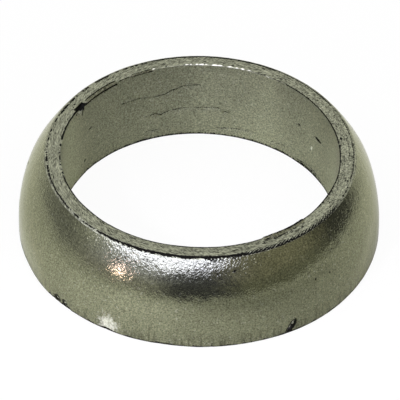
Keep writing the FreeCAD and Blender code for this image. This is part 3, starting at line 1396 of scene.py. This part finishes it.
class Sheet:
    """A material's node sheet, with short calls for what the finishes share."""

    def __init__(self, name: str) -> None:
        """Start a material with an empty sheet.

        Args:
            name: The material's name.
        """
        self.material = bpy.data.materials.new(name)
        self.material.use_nodes = True
        self.tree = self.material.node_tree
        self.tree.nodes.clear()
        self.output = self.tree.nodes.new("ShaderNodeOutputMaterial")

    def node(self, kind: str, **settings: object) -> bpy.types.Node:
        """Add a node and set its properties.

        Args:
            kind: The type of the node.
            settings: Its properties by name.

        Returns:
            The node.
        """
        made = self.tree.nodes.new(kind)
        for name, value in settings.items():
            setattr(made, name, value)
        return made

    def feed(self, socket: Socket, value: Value) -> None:
        """Link a socket to another one, or set it to a plain value.

        Args:
            socket: The socket that takes the value.
            value: An output of another node, or a plain number or colour.
        """
        if isinstance(value, Socket):
            self.tree.links.new(value, socket)
        else:
            socket.default_value = value

    def finish(self, surface: Socket) -> bpy.types.Material:
        """Send a shader to the output and give the material."""
        self.feed(self.output.inputs["Surface"], surface)
        return self.material

    def number(self, operation: str, *values: Value) -> Socket:
        """Add a Math node.

        Args:
            operation: What it works out.
            values: Its operands.

        Returns:
            The result.
        """
        made = self.node("ShaderNodeMath", operation=operation)
        for socket, value in zip(made.inputs, values):
            self.feed(socket, value)
        return made.outputs[0]

    def product(self, *values: Value) -> Socket:
        """Multiply several numbers.

        Args:
            values: The numbers.

        Returns:
            Their product.
        """
        result = values[0]
        for value in values[1:]:
            result = self.number("MULTIPLY", result, value)
        return result

    def total(self, *values: Value) -> Socket:
        """Add several numbers.

        Args:
            values: The numbers.

        Returns:
            Their sum.
        """
        result = values[0]
        for value in values[1:]:
            result = self.number("ADD", result, value)
        return result

    def attribute(self, name: str) -> Socket:
        """Read one of the mesh's own numbers."""
        return self.node("ShaderNodeAttribute", attribute_name=name).outputs["Fac"]

    def place(self) -> Socket:
        """Read the place on the piece."""
        return self.node("ShaderNodeTexCoord").outputs["Object"]

    def axis(self, place: Socket, name: str) -> Socket:
        """Read one of a place's three numbers.

        Args:
            place: The place.
            name: The axis: X, Y or Z.

        Returns:
            The number on that axis.
        """
        split = self.node("ShaderNodeSeparateXYZ")
        self.feed(split.inputs[0], place)
        return split.outputs[name]

    def unroll(self, place: Socket, along: float) -> Socket:
        """Unroll a place into the way round the ring, the radius and the height.

        Args:
            place: The place.
            along: The factor by which the way round is shrunk.

        Returns:
            The unrolled place.
        """
        turn = self.number("ARCTAN2", self.axis(place, "Y"), self.axis(place, "X"))
        squares = self.total(
            self.number("POWER", self.axis(place, "X"), 2.0),
            self.number("POWER", self.axis(place, "Y"), 2.0),
        )
        radius = self.number("POWER", squares, 0.5)
        way = self.product(turn, radius, 1.0 / along)
        joined = self.node("ShaderNodeCombineXYZ")
        for socket, value in zip(joined.inputs, (way, radius, self.axis(place, "Z"))):
            self.feed(socket, value)
        return joined.outputs[0]

    def stretch(self, place: Socket, across: float, up: float) -> Socket:
        """Shrink a place's numbers, so that what reads it looks stretched by those factors.

        Args:
            place: The place.
            across: The factor of the stretch along X and Y.
            up: The factor of the stretch along Z.

        Returns:
            The shrunk place.
        """
        scaled = self.node("ShaderNodeVectorMath", operation="MULTIPLY")
        self.feed(scaled.inputs[0], place)
        scaled.inputs[1].default_value = (1.0 / across, 1.0 / across, 1.0 / up)
        return scaled.outputs[0]

    def noise(self, place: Socket, size: float, detail: float = 2.0, distortion: float = 0.0) -> Socket:
        """Add a noise whose bumps have a size in millimetres.

        Args:
            place: The place at which it is read.
            size: The size of a bump.
            detail: How many finer layers it has.
            distortion: How far its bumps are drawn out of shape.

        Returns:
            The noise, mostly from 0.3 to 0.7.
        """
        made = self.node("ShaderNodeTexNoise")
        self.feed(made.inputs["Vector"], place)
        made.inputs["Scale"].default_value = 1.0 / (size * MM)
        made.inputs["Detail"].default_value = detail
        made.inputs["Distortion"].default_value = distortion
        return made.outputs["Fac"]

    def spread(
        self, value: Value, low: float, high: float, start: Value = 0.0, end: Value = 1.0,
        smooth: bool = False,
    ) -> Socket:
        """Map a number from one range to another, clamped at both ends.

        Args:
            value: The number.
            low: The start of its own range.
            high: The end of its own range.
            start: What the start becomes.
            end: What the end becomes.
            smooth: Whether it eases in and out at the ends.

        Returns:
            The mapped number.
        """
        made = self.node("ShaderNodeMapRange", interpolation_type="SMOOTHSTEP" if smooth else "LINEAR")
        names = ("Value", "From Min", "From Max", "To Min", "To Max")
        for name, given in zip(names, (value, low, high, start, end)):
            self.feed(made.inputs[name], given)
        return made.outputs["Result"]

    def swing(self, noise: Socket, amount: float, half: float = 0.2) -> Socket:
        """Make a noise swing evenly about 0, with the whole amount a half range from 0.5."""
        return self.spread(noise, 0.5 - half, 0.5 + half, -amount, amount)

    def mix(self, share: Value, first: Value, second: Value) -> Socket:
        """Mix two colours.

        Args:
            share: The share of the second colour.
            first: The first colour.
            second: The second colour.

        Returns:
            The mixed colour.
        """
        made = self.node("ShaderNodeMix", data_type="RGBA")
        # The node's sockets for colours come after those for numbers and vectors
        self.feed(made.inputs[0], share)
        self.feed(made.inputs[6], first)
        self.feed(made.inputs[7], second)
        return made.outputs[2]

    def seen(self) -> tuple[Socket, Socket]:
        """Tell the camera's rays and mirrored rays from the rest.

        Returns:
            1 for a camera ray, and 1 for a ray that comes from a glossy or clear surface.
        """
        path = self.node("ShaderNodeLightPath")
        glossy = path.outputs["Is Glossy Ray"]
        mirrored = self.number("MAXIMUM", glossy, path.outputs["Is Transmission Ray"])
        return path.outputs["Is Camera Ray"], mirrored


@dataclass(frozen=True)
class PressedGraphite:
    """The ring's finish: satin warm grey, pressed from graphite and steel mesh."""

    skin: Skin
    metal: Colour = colour(0.213, 0.220, 0.137)
    land_metal: Colour = colour(0.2225, 0.229, 0.161)
    # The colour of the seat's front, where its highlight holds painted dark specks
    pitted_metal: Colour = colour(0.215, 0.222, 0.168)
    bore_metal: Colour = colour(0.213, 0.220, 0.148)
    # What the metal mirrors at a glancing angle
    glance: Colour = colour(1.0, 1.0, 0.86)
    # The dark of bare graphite, also painted as shade in the chip, under the lips and along the foot
    graphite: Colour = colour(0.010, 0.010, 0.008)
    # The pale of rubbed metal, also painted as glints and highlights
    burnish: Colour = colour(0.95, 0.95, 0.82)
    brown: Colour = colour(0.085, 0.083, 0.045)
    # How rough each wall is, from 0, polished, to 1, matt
    seat_roughness: float = 0.115
    bore_roughness: float = 0.50
    land_roughness: float = 0.50
    # How much rougher the dark marks are, bare graphite and painted shade alike
    graphite_roughness: float = 0.25
    # Size and height in millimetres of the worm-like peel, the pebbles and the fine grain
    peel_size: float = 0.44
    peel_height: float = 0.060
    pebble_size: float = 1.3
    pebble_height: float = 0.018
    grain_size: float = 0.22
    grain_height: float = 0.006
    # Heights in metres between which the peel grows to its full height, and its share below them
    calm: tuple[float, float] = (0.0128, 0.0158)
    calm_share: float = 0.39
    # How much of the pressed texture the bore wall lacks
    bore_calm: float = 0.6
    # Size, stretch along the wall and height of the bore's fine grooves
    groove_size: float = 0.30
    groove_stretch: float = 9.0
    groove_height: float = 0.06
    # Size of the tone's clouds and how much they vary it
    cloud_size: float = 6.0
    cloud: float = 0.05
    # How much the tone varies from one speck to the next, on the walls and on the land
    speck_size: float = 0.27
    wall_speck: float = 0.50
    land_speck: float = 0.85
    # Size of the land's grain, how far it is drawn out round the ring, and its longer streaks
    land_size: float = 0.24
    land_run: float = 1.5
    land_streak: float = 0.35
    land_streak_run: float = 8.0
    # Top of the upright streaks at the foot and how much it varies, in metres
    streak_top: float = 0.0030
    streak_wander: float = 0.0010
    # Size and upward stretch of the streaks, and how dark they are
    streak_size: float = 0.6
    streak_run: float = 9.0
    streak_dark: float = 0.38
    # Size and depth of the ragged edges of the dark marks, bare graphite and painted shade, and of the
    # pale ones, rubbed metal and painted glints
    rag_size: float = 0.26
    rub_grain_size: float = 0.5
    rag: float = 0.28
    # Size of the pores, which on the seat's front are painted dark specks, and of the patches in which
    # they are more open
    pore_size: float = 0.34
    patch_size: float = 2.6
    # The noise from which a pore opens, in close and in open patches, and how much more on the land
    pore_floors: tuple[float, float] = (0.72, 0.60)
    land_more: float = 0.03
    pore_edge: float = 0.05
    # Numbers between which the dark marks, and the pale ones, come in fully
    bare_edge: tuple[float, float] = (0.36, 0.54)
    rub_edge: tuple[float, float] = (0.16, 1.0)

    def tone(self, sheet: Sheet, place: Socket, around: Socket, land: Socket) -> Socket:
        """Vary the tone in clouds and specks, with dark upright streaks at the foot, and by the mesh's
        tone, which holds the bore wall's painted light.

        Args:
            sheet: The sheet to work on.
            place: The place on the ring.
            around: The place unrolled, in which grain runs round the ring.
            land: 1 on the land, else 0.

        Returns:
            The factor on the metal's colour.
        """
        cloud = sheet.noise(place, self.cloud_size, detail=3.0)
        speck = sheet.noise(place, self.speck_size, detail=2.0)
        wall_speck = sheet.swing(speck, self.wall_speck, half=0.22)
        land_grain = sheet.noise(around, self.land_size, detail=2.0)
        land_streak = sheet.noise(sheet.unroll(place, self.land_streak_run), self.land_size, detail=1.0)
        land_speck = sheet.total(
            sheet.swing(land_grain, self.land_speck, half=0.22),
            sheet.swing(land_streak, self.land_streak),
        )
        specks = sheet.spread(land, 0.0, 1.0, wall_speck, land_speck)
        upright = sheet.noise(sheet.stretch(place, 1.0, self.streak_run), self.streak_size, detail=1.5)
        height = sheet.total(sheet.axis(place, "Z"), sheet.swing(upright, -self.streak_wander))
        low = sheet.spread(height, 0.2 * self.streak_top, self.streak_top, 1.0, 0.0)
        inside = sheet.number("MAXIMUM", land, sheet.attribute(self.skin.bore))
        outside = sheet.number("SUBTRACT", 1.0, inside)
        streak = sheet.product(sheet.spread(upright, 0.47, 0.6), low, outside)
        return sheet.product(
            sheet.spread(cloud, 0.3, 0.7, 1.0 - self.cloud, 1.0 + self.cloud),
            sheet.number("ADD", 1.0, specks),
            sheet.number("SUBTRACT", 1.0, sheet.product(streak, self.streak_dark)),
            sheet.attribute(self.skin.tone),
        )

    def bared(self, sheet: Sheet, place: Socket, around: Socket, land: Socket) -> Socket:
        """Give where the dark shows: bare graphite and painted shade along the marks, with ragged edges,
        and open pores, which on the seat's front are painted dark specks.

        Args:
            sheet: The sheet to work on.
            place: The place on the ring.
            around: The place unrolled, in which grain runs round the ring.
            land: 1 on the land, else 0.

        Returns:
            The share of graphite, from 0 to 1.
        """
        rag = sheet.swing(sheet.noise(place, self.rag_size, detail=2.0), self.rag, half=0.25)
        near = sheet.number("ADD", sheet.attribute(self.skin.graphite), rag)
        patch = sheet.noise(place, self.patch_size, detail=1.0)
        pore = sheet.noise(around, self.pore_size, detail=1.0)
        floor = sheet.total(
            sheet.spread(patch, 0.4, 0.65, *self.pore_floors), sheet.product(land, self.land_more)
        )
        open_pores = sheet.spread(sheet.number("SUBTRACT", pore, floor), 0.0, self.pore_edge)
        pores = sheet.product(open_pores, sheet.attribute(self.skin.pitted))
        return sheet.number("MAXIMUM", sheet.spread(near, *self.bare_edge), pores)

    def relief(self, sheet: Sheet, place: Socket) -> Socket:
        """Give the normal of the fine pressed texture.

        Args:
            sheet: The sheet to work on.
            place: The place on the ring.

        Returns:
            The normal.
        """
        peel = sheet.noise(place, self.peel_size, detail=1.5, distortion=0.8)
        pebble = sheet.noise(place, self.pebble_size, detail=1.0, distortion=0.4)
        grain = sheet.noise(place, self.grain_size, detail=1.0)
        bump = sheet.node("ShaderNodeBump")
        bump.inputs["Strength"].default_value = 1.0
        bump.inputs["Distance"].default_value = MM
        groove = sheet.noise(sheet.stretch(place, self.groove_stretch, 1.0), self.groove_size, detail=1.0)
        bore = sheet.attribute(self.skin.bore)
        calm = sheet.spread(sheet.axis(place, "Z"), *self.calm, self.calm_share, 1.0)
        pressed = sheet.total(
            sheet.product(peel, self.peel_height), sheet.product(pebble, self.pebble_height),
            sheet.product(grain, self.grain_height),
        )
        rest = sheet.number("SUBTRACT", 1.0, sheet.product(bore, self.bore_calm))
        height = sheet.total(
            sheet.product(pressed, calm, rest),
            sheet.product(groove, bore, self.groove_height),
        )
        sheet.feed(bump.inputs["Height"], height)
        return bump.outputs[0]

    def make(self) -> bpy.types.Material:
        """Make the material.

        Returns:
            The material, which reads Object coordinates and the ring's own attributes.
        """
        sheet = Sheet("pressed_graphite")
        place = sheet.place()
        land = sheet.attribute(self.skin.land)
        bore = sheet.attribute(self.skin.bore)
        around = sheet.unroll(place, self.land_run)
        bared = self.bared(sheet, place, around, land)

        toned = sheet.node("ShaderNodeVectorMath", operation="SCALE")
        outer_metal = sheet.mix(sheet.attribute(self.skin.pitted), self.metal, self.pitted_metal)
        wall_metal = sheet.mix(bore, outer_metal, self.bore_metal)
        metal = sheet.mix(land, wall_metal, self.land_metal)
        sheet.feed(toned.inputs[0], sheet.mix(sheet.attribute(self.skin.brown), metal, self.brown))
        sheet.feed(toned.inputs["Scale"], self.tone(sheet, place, around, land))
        pale_grain = sheet.swing(sheet.noise(place, self.rub_grain_size, detail=2.0), self.rag)
        rub_and_glint_share = sheet.number("ADD", sheet.attribute(self.skin.burnish), pale_grain)
        # Pale: rubbed metal, painted glints and painted highlights
        shade = sheet.mix(sheet.spread(rub_and_glint_share, *self.rub_edge), toned.outputs[0], self.burnish)
        # Dark: bare graphite and painted shade
        shade = sheet.mix(bared, shade, self.graphite)

        rough = sheet.total(
            self.seat_roughness,
            sheet.product(land, self.land_roughness - self.seat_roughness),
            sheet.product(bore, self.bore_roughness - self.seat_roughness),
            sheet.product(bared, self.graphite_roughness),
        )
        shader = sheet.node("ShaderNodeBsdfPrincipled")
        shader.inputs["Metallic"].default_value = 1.0
        shader.inputs["Specular Tint"].default_value = self.glance
        sheet.feed(shader.inputs["Base Color"], shade)
        sheet.feed(shader.inputs["Roughness"], rough)
        sheet.feed(shader.inputs["Normal"], self.relief(sheet, place))
        return sheet.finish(shader.outputs[0])


@dataclass(frozen=True)
class RoomTone:
    """The tone of the room at a turn from the camera's side, in degrees to the right."""

    turn: float
    tone: Colour


@dataclass(frozen=True)
class SoftLamp:
    """A soft oval lamp that faces the ring, which mirrors it, and doesn't light the floor."""

    name: str
    # Its turn from the camera's side to the right and its rise, in degrees
    turn: float
    rise: float
    distance: float
    size: tuple[float, float]
    power: float
    tint: tuple[float, float, float]

    def hang(self) -> bpy.types.Object:
        """Hang the lamp.

        Returns:
            The lamp, turned towards the origin.
        """
        data = bpy.data.lights.new(self.name, "AREA")
        data.shape = "ELLIPSE"
        data.size, data.size_y = self.size
        data.energy = self.power
        data.color = self.tint
        lamp = bpy.data.objects.new(self.name, data)
        bpy.context.scene.collection.objects.link(lamp)
        turn = math.radians(self.turn)
        rise = math.radians(self.rise)
        away = Vector((math.sin(turn) * math.cos(rise), -math.cos(turn) * math.cos(rise), math.sin(rise)))
        lamp.location = away * self.distance
        lamp.rotation_mode = "QUATERNION"
        lamp.rotation_quaternion = away.to_track_quat("Z", "Y")
        lamp.visible_diffuse = False
        log.info("%s: hung", lamp.name)
        return lamp


@dataclass(frozen=True)
class PoolLamp:
    """A lamp that throws a soft pool on the floor and isn't mirrored by the ring."""

    name: str = "pool_lamp"
    place: tuple[float, float, float] = (-0.20, -0.30, 0.30)
    pool: tuple[float, float, float] = (-0.010, -0.046, 0.0)
    power: float = 10.8
    tint: tuple[float, float, float] = (0.88, 0.87, 1.0)
    # The full angle of its cone in degrees, and its radius
    cone: float = 12.0
    radius: float = 0.03

    def hang(self) -> bpy.types.Object:
        """Hang the lamp.

        Returns:
            The lamp, turned towards the middle of its pool.
        """
        data = bpy.data.lights.new(self.name, "SPOT")
        data.energy = self.power
        data.color = self.tint
        data.spot_size = math.radians(self.cone)
        data.spot_blend = 1.0
        data.shadow_soft_size = self.radius
        lamp = bpy.data.objects.new(self.name, data)
        bpy.context.scene.collection.objects.link(lamp)
        lamp.location = self.place
        lamp.rotation_mode = "QUATERNION"
        lamp.rotation_quaternion = (Vector(self.pool) - Vector(self.place)).to_track_quat("-Z", "Y")
        lamp.visible_glossy = False
        log.info("%s: hung", lamp.name)
        return lamp


@dataclass
class Studio:
    """The pale floor, the dim room round the camera, the soft lamps and the camera."""

    floor_size: float = 8.0
    floor_drop: float = 0.00002
    floor_white: Colour = colour(0.95, 0.95, 0.95)
    # How much of the floor is plain white to the camera; the rest is lit, and takes the ring's shadow
    floor_glow: float = 0.94
    # Where the painted shade on the floor is deepest, which only the ring's mirror image shows, how far it
    # reaches, and the floor's colour there
    dull_spot: tuple[float, float, float] = (0.031, -0.056, 0.0)
    dull_reach: float = 0.09
    dull_white: Colour = colour(0.49, 0.49, 0.48)
    # The room: where it starts and where it is full on the floor, and its wall's radius and height
    room_start: float = 0.055
    room_full: float = 0.26
    room_wall: float = 1.3
    room_height: float = 1.1
    # Heights, as shares of the wall's radius, between which the low tones become the high ones
    tone_rise: tuple[float, float] = (0.08, 0.21)
    # Where it opens high up on the left: turns in degrees, and heights as above
    open_left: tuple[float, float] = (-14.0, 2.0)
    open_rise: tuple[float, float] = (0.30, 0.42)
    # Turns in degrees to each side between which it opens at the back
    open_back: tuple[float, float] = (119.0, 132.0)
    # The camera: its lens and sensor in millimetres, its place, its direction and its roll in degrees
    lens: float = 320.7
    sensor: float = 36.0
    eye: tuple[float, float, float] = (0.000113, -0.50571, 0.45176)
    gaze: tuple[float, float, float] = (0.0, 0.7501, -0.6613)
    roll: float = 1.06
    pool: PoolLamp = PoolLamp()
    key: SoftLamp = SoftLamp("key_lamp", -25.0, 48.0, 0.9, (1.36, 0.92), 17.6, (0.72, 0.71, 1.0))
    warm: SoftLamp = SoftLamp("warm_lamp", -46.8, 5.9, 0.9, (0.10, 0.06), 0.30, (0.95, 0.67, 0.73))

    def low_tones(self) -> tuple[RoomTone, ...]:
        """Give the tones of the room near the floor, from the left round to the right.

        Returns:
            The tones, in the order of their turns.
        """
        pale = colour(0.75, 0.76, 0.80)
        dim = colour(0.42, 0.42, 0.45)
        half = colour(0.66, 0.64, 0.68)
        dark = colour(0.14, 0.14, 0.175)
        dusk = colour(0.31, 0.31, 0.27)
        gloom = colour(0.12, 0.12, 0.13)
        white = colour(1.0, 1.0, 1.0)
        return (
            RoomTone(-150, white), RoomTone(-128, pale), RoomTone(-108, dim), RoomTone(-84, dim),
            RoomTone(-66, half), RoomTone(-30, half), RoomTone(-14, dark), RoomTone(14, dark),
            RoomTone(30, dusk), RoomTone(74, dusk), RoomTone(90, gloom), RoomTone(112, gloom),
            RoomTone(126, white),
        )

    def high_tones(self) -> tuple[RoomTone, ...]:
        """Give the tones of the room higher up, from the left round to the right.

        Returns:
            The tones, in the order of their turns.
        """
        dim = colour(0.38, 0.38, 0.40)
        half = colour(0.85, 0.85, 0.92)
        dark = colour(0.18, 0.18, 0.20)
        wood = colour(0.50, 0.47, 0.40)
        gloom = colour(0.10, 0.10, 0.10)
        white = colour(1.0, 1.0, 1.0)
        return (
            RoomTone(-140, white), RoomTone(-108, dim), RoomTone(-88, dim), RoomTone(-66, half),
            RoomTone(-28, half), RoomTone(-10, dark), RoomTone(8, dark), RoomTone(26, wood),
            RoomTone(72, wood), RoomTone(88, gloom), RoomTone(112, gloom), RoomTone(126, white),
        )

    def add(self, name: str, bm: bmesh.types.BMesh, material: bpy.types.Material) -> bpy.types.Object:
        """Put a stage piece into the scene.

        Args:
            name: The piece's name.
            bm: Its mesh, which is freed.
            material: Its material.

        Returns:
            The piece.
        """
        mesh = bpy.data.meshes.new(name)
        bm.to_mesh(mesh)
        bm.free()
        mesh.materials.append(material)
        piece = bpy.data.objects.new(name, mesh)
        bpy.context.scene.collection.objects.link(piece)
        log.info("%s: %d faces", piece.name, len(mesh.polygons))
        return piece

    def lay_floor(self) -> bpy.types.Object:
        """Lay the floor: white to the camera, with the ring's soft shadow, and with a spot of painted
        shade that only mirrors show.

        Returns:
            The floor.
        """
        bm = bmesh.new()
        bmesh.ops.create_grid(bm, x_segments=1, y_segments=1, size=self.floor_size / 2)
        bmesh.ops.translate(bm, vec=(0.0, 0.0, -self.floor_drop), verts=bm.verts[:])
        sheet = Sheet("pale_floor")
        camera, mirrored = sheet.seen()
        matt = sheet.node("ShaderNodeBsdfDiffuse")
        near = sheet.node("ShaderNodeVectorMath", operation="DISTANCE")
        sheet.feed(near.inputs[0], sheet.place())
        near.inputs[1].default_value = self.dull_spot
        closeness = sheet.spread(near.outputs["Value"], 0.0, self.dull_reach, 1.0, 0.0, smooth=True)
        # Painted shade, for mirrored rays only
        painted_shade = sheet.product(closeness, mirrored)
        sheet.feed(matt.inputs["Color"], sheet.mix(painted_shade, self.floor_white, self.dull_white))
        glow = sheet.node("ShaderNodeEmission")
        glow.inputs["Strength"].default_value = 1.0
        blend = sheet.node("ShaderNodeMixShader")
        sheet.feed(blend.inputs[0], sheet.product(camera, self.floor_glow))
        sheet.feed(blend.inputs[1], matt.outputs[0])
        sheet.feed(blend.inputs[2], glow.outputs[0])
        return self.add("floor", bm, sheet.finish(blend.outputs[0]))

    def raise_room(self) -> bpy.types.Object:
        """Raise the dim room round the camera's side, which only the polished ring reflects.

        Returns:
            The room.
        """
        bm = bmesh.new()
        bmesh.ops.create_circle(bm, cap_ends=False, segments=96, radius=self.room_start)
        wide = self.room_wall / self.room_start
        for scale, lift in ((wide, 0.0), (1.0, self.room_height)):
            # Only the newest rim is untagged, and grows next
            rise = bmesh.ops.extrude_edge_only(bm, edges=[edge for edge in bm.edges if not edge.tag])
            for edge in bm.edges:
                edge.tag = True
            verts = [part for part in rise["geom"] if isinstance(part, bmesh.types.BMVert)]
            for part in rise["geom"]:
                if isinstance(part, bmesh.types.BMEdge) and all(vert in verts for vert in part.verts):
                    part.tag = False
            bmesh.ops.scale(bm, vec=(scale, scale, 1.0), verts=verts)
            bmesh.ops.translate(bm, vec=(0.0, 0.0, lift), verts=verts)
        room = self.add("dim_room", bm, self.paint_room())
        room.visible_camera = False
        room.visible_diffuse = False
        room.visible_shadow = False
        return room

    def paint_room(self) -> bpy.types.Material:
        """Paint the room by the turn from the camera's side, open behind and high up on the left.

        Returns:
            The material.
        """
        sheet = Sheet("dim_walls")
        place = sheet.place()
        along = sheet.axis(place, "X")
        back = sheet.axis(place, "Y")
        turn = sheet.number("ARCTAN2", along, sheet.number("MULTIPLY", back, -1.0))
        around = sheet.spread(turn, -math.pi, math.pi)
        glow = sheet.node("ShaderNodeEmission")
        height = sheet.number("MULTIPLY", sheet.axis(place, "Z"), 1.0 / self.room_wall)
        up = sheet.spread(height, *self.tone_rise)
        low_tone = self.ramp(sheet, around, self.low_tones())
        high_tone = self.ramp(sheet, around, self.high_tones())
        sheet.feed(glow.inputs["Color"], sheet.mix(up, low_tone, high_tone))
        left = sheet.spread(turn, *map(math.radians, self.open_left), 1.0, 0.0)
        high = sheet.spread(height, *self.open_rise)
        behind = sheet.spread(sheet.number("ABSOLUTE", turn), *map(math.radians, self.open_back))
        reach = sheet.node("ShaderNodeVectorMath", operation="LENGTH")
        sheet.feed(reach.inputs[0], place)
        near = sheet.spread(reach.outputs["Value"], self.room_start, self.room_full, 1.0, 0.0)
        opening = sheet.number("MAXIMUM", near, sheet.number("MAXIMUM", behind, sheet.product(left, high)))
        blend = sheet.node("ShaderNodeMixShader")
        sheet.feed(blend.inputs[0], opening)
        sheet.feed(blend.inputs[1], glow.outputs[0])
        sheet.feed(blend.inputs[2], sheet.node("ShaderNodeBsdfTransparent").outputs[0])
        return sheet.finish(blend.outputs[0])

    @staticmethod
    def ramp(sheet: Sheet, around: Socket, tones: tuple[RoomTone, ...]) -> Socket:
        """Blend tones by the turn from the camera's side.

        Args:
            sheet: The sheet to work on.
            around: The turn, from 0 for -180 degrees to 1 for 180 degrees.
            tones: The tones, from the left round to the right.

        Returns:
            The blended colour.
        """
        ramp = sheet.node("ShaderNodeValToRGB")
        elements = ramp.color_ramp.elements
        elements.remove(elements[1])
        for index, tone in enumerate(tones):
            spot = tone.turn / FULL_TURN + 0.5
            element = elements[0] if index == 0 else elements.new(spot)
            element.position = spot
            element.color = tone.tone
        sheet.feed(ramp.inputs[0], around)
        return ramp.outputs["Color"]

    def light_world(self) -> None:
        """Fill the world with a plain soft light."""
        world = bpy.data.worlds.new("soft_room")
        world.use_nodes = True
        background = world.node_tree.nodes["Background"]
        background.inputs["Color"].default_value = colour(1.0, 1.0, 1.0)
        background.inputs["Strength"].default_value = 1.0
        bpy.context.scene.world = world

    def set_camera(self) -> bpy.types.Object:
        """Set up the camera at the photograph's viewing angle.

        Returns:
            The camera.
        """
        data = bpy.data.cameras.new("camera")
        data.lens = self.lens
        data.sensor_width = self.sensor
        camera = bpy.data.objects.new("camera", data)
        bpy.context.scene.collection.objects.link(camera)
        towards = Vector(self.gaze).to_track_quat("-Z", "Y").to_matrix().to_4x4()
        roll = Matrix.Rotation(math.radians(self.roll), 4, "Z")
        camera.matrix_world = Matrix.Translation(self.eye) @ towards @ roll
        bpy.context.scene.camera = camera
        return camera

    def build(self) -> None:
        """Set up the whole studio."""
        bpy.context.scene.view_settings.view_transform = "Standard"
        self.light_world()
        self.lay_floor()
        self.raise_room()
        self.pool.hang()
        self.key.hang()
        self.warm.hang()
        self.set_camera()


def main() -> None:
    """Build the ring and the studio, and note the sizes."""
    logging.basicConfig(level=logging.INFO, format="%(name)s: %(message)s")
    gasket = GasketRing(RingSizes.from_frame())
    ring = gasket.build()
    ring.data.materials.append(PressedGraphite(gasket.skin).make())
    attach(ring, BODY)
    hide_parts(NODE)
    triangles = sum(len(face.vertices) - 2 for face in ring.data.polygons)
    log.info("%s: %d triangles", ring.name, triangles)
    Studio().build()


if __name__ == "__main__":
    main()
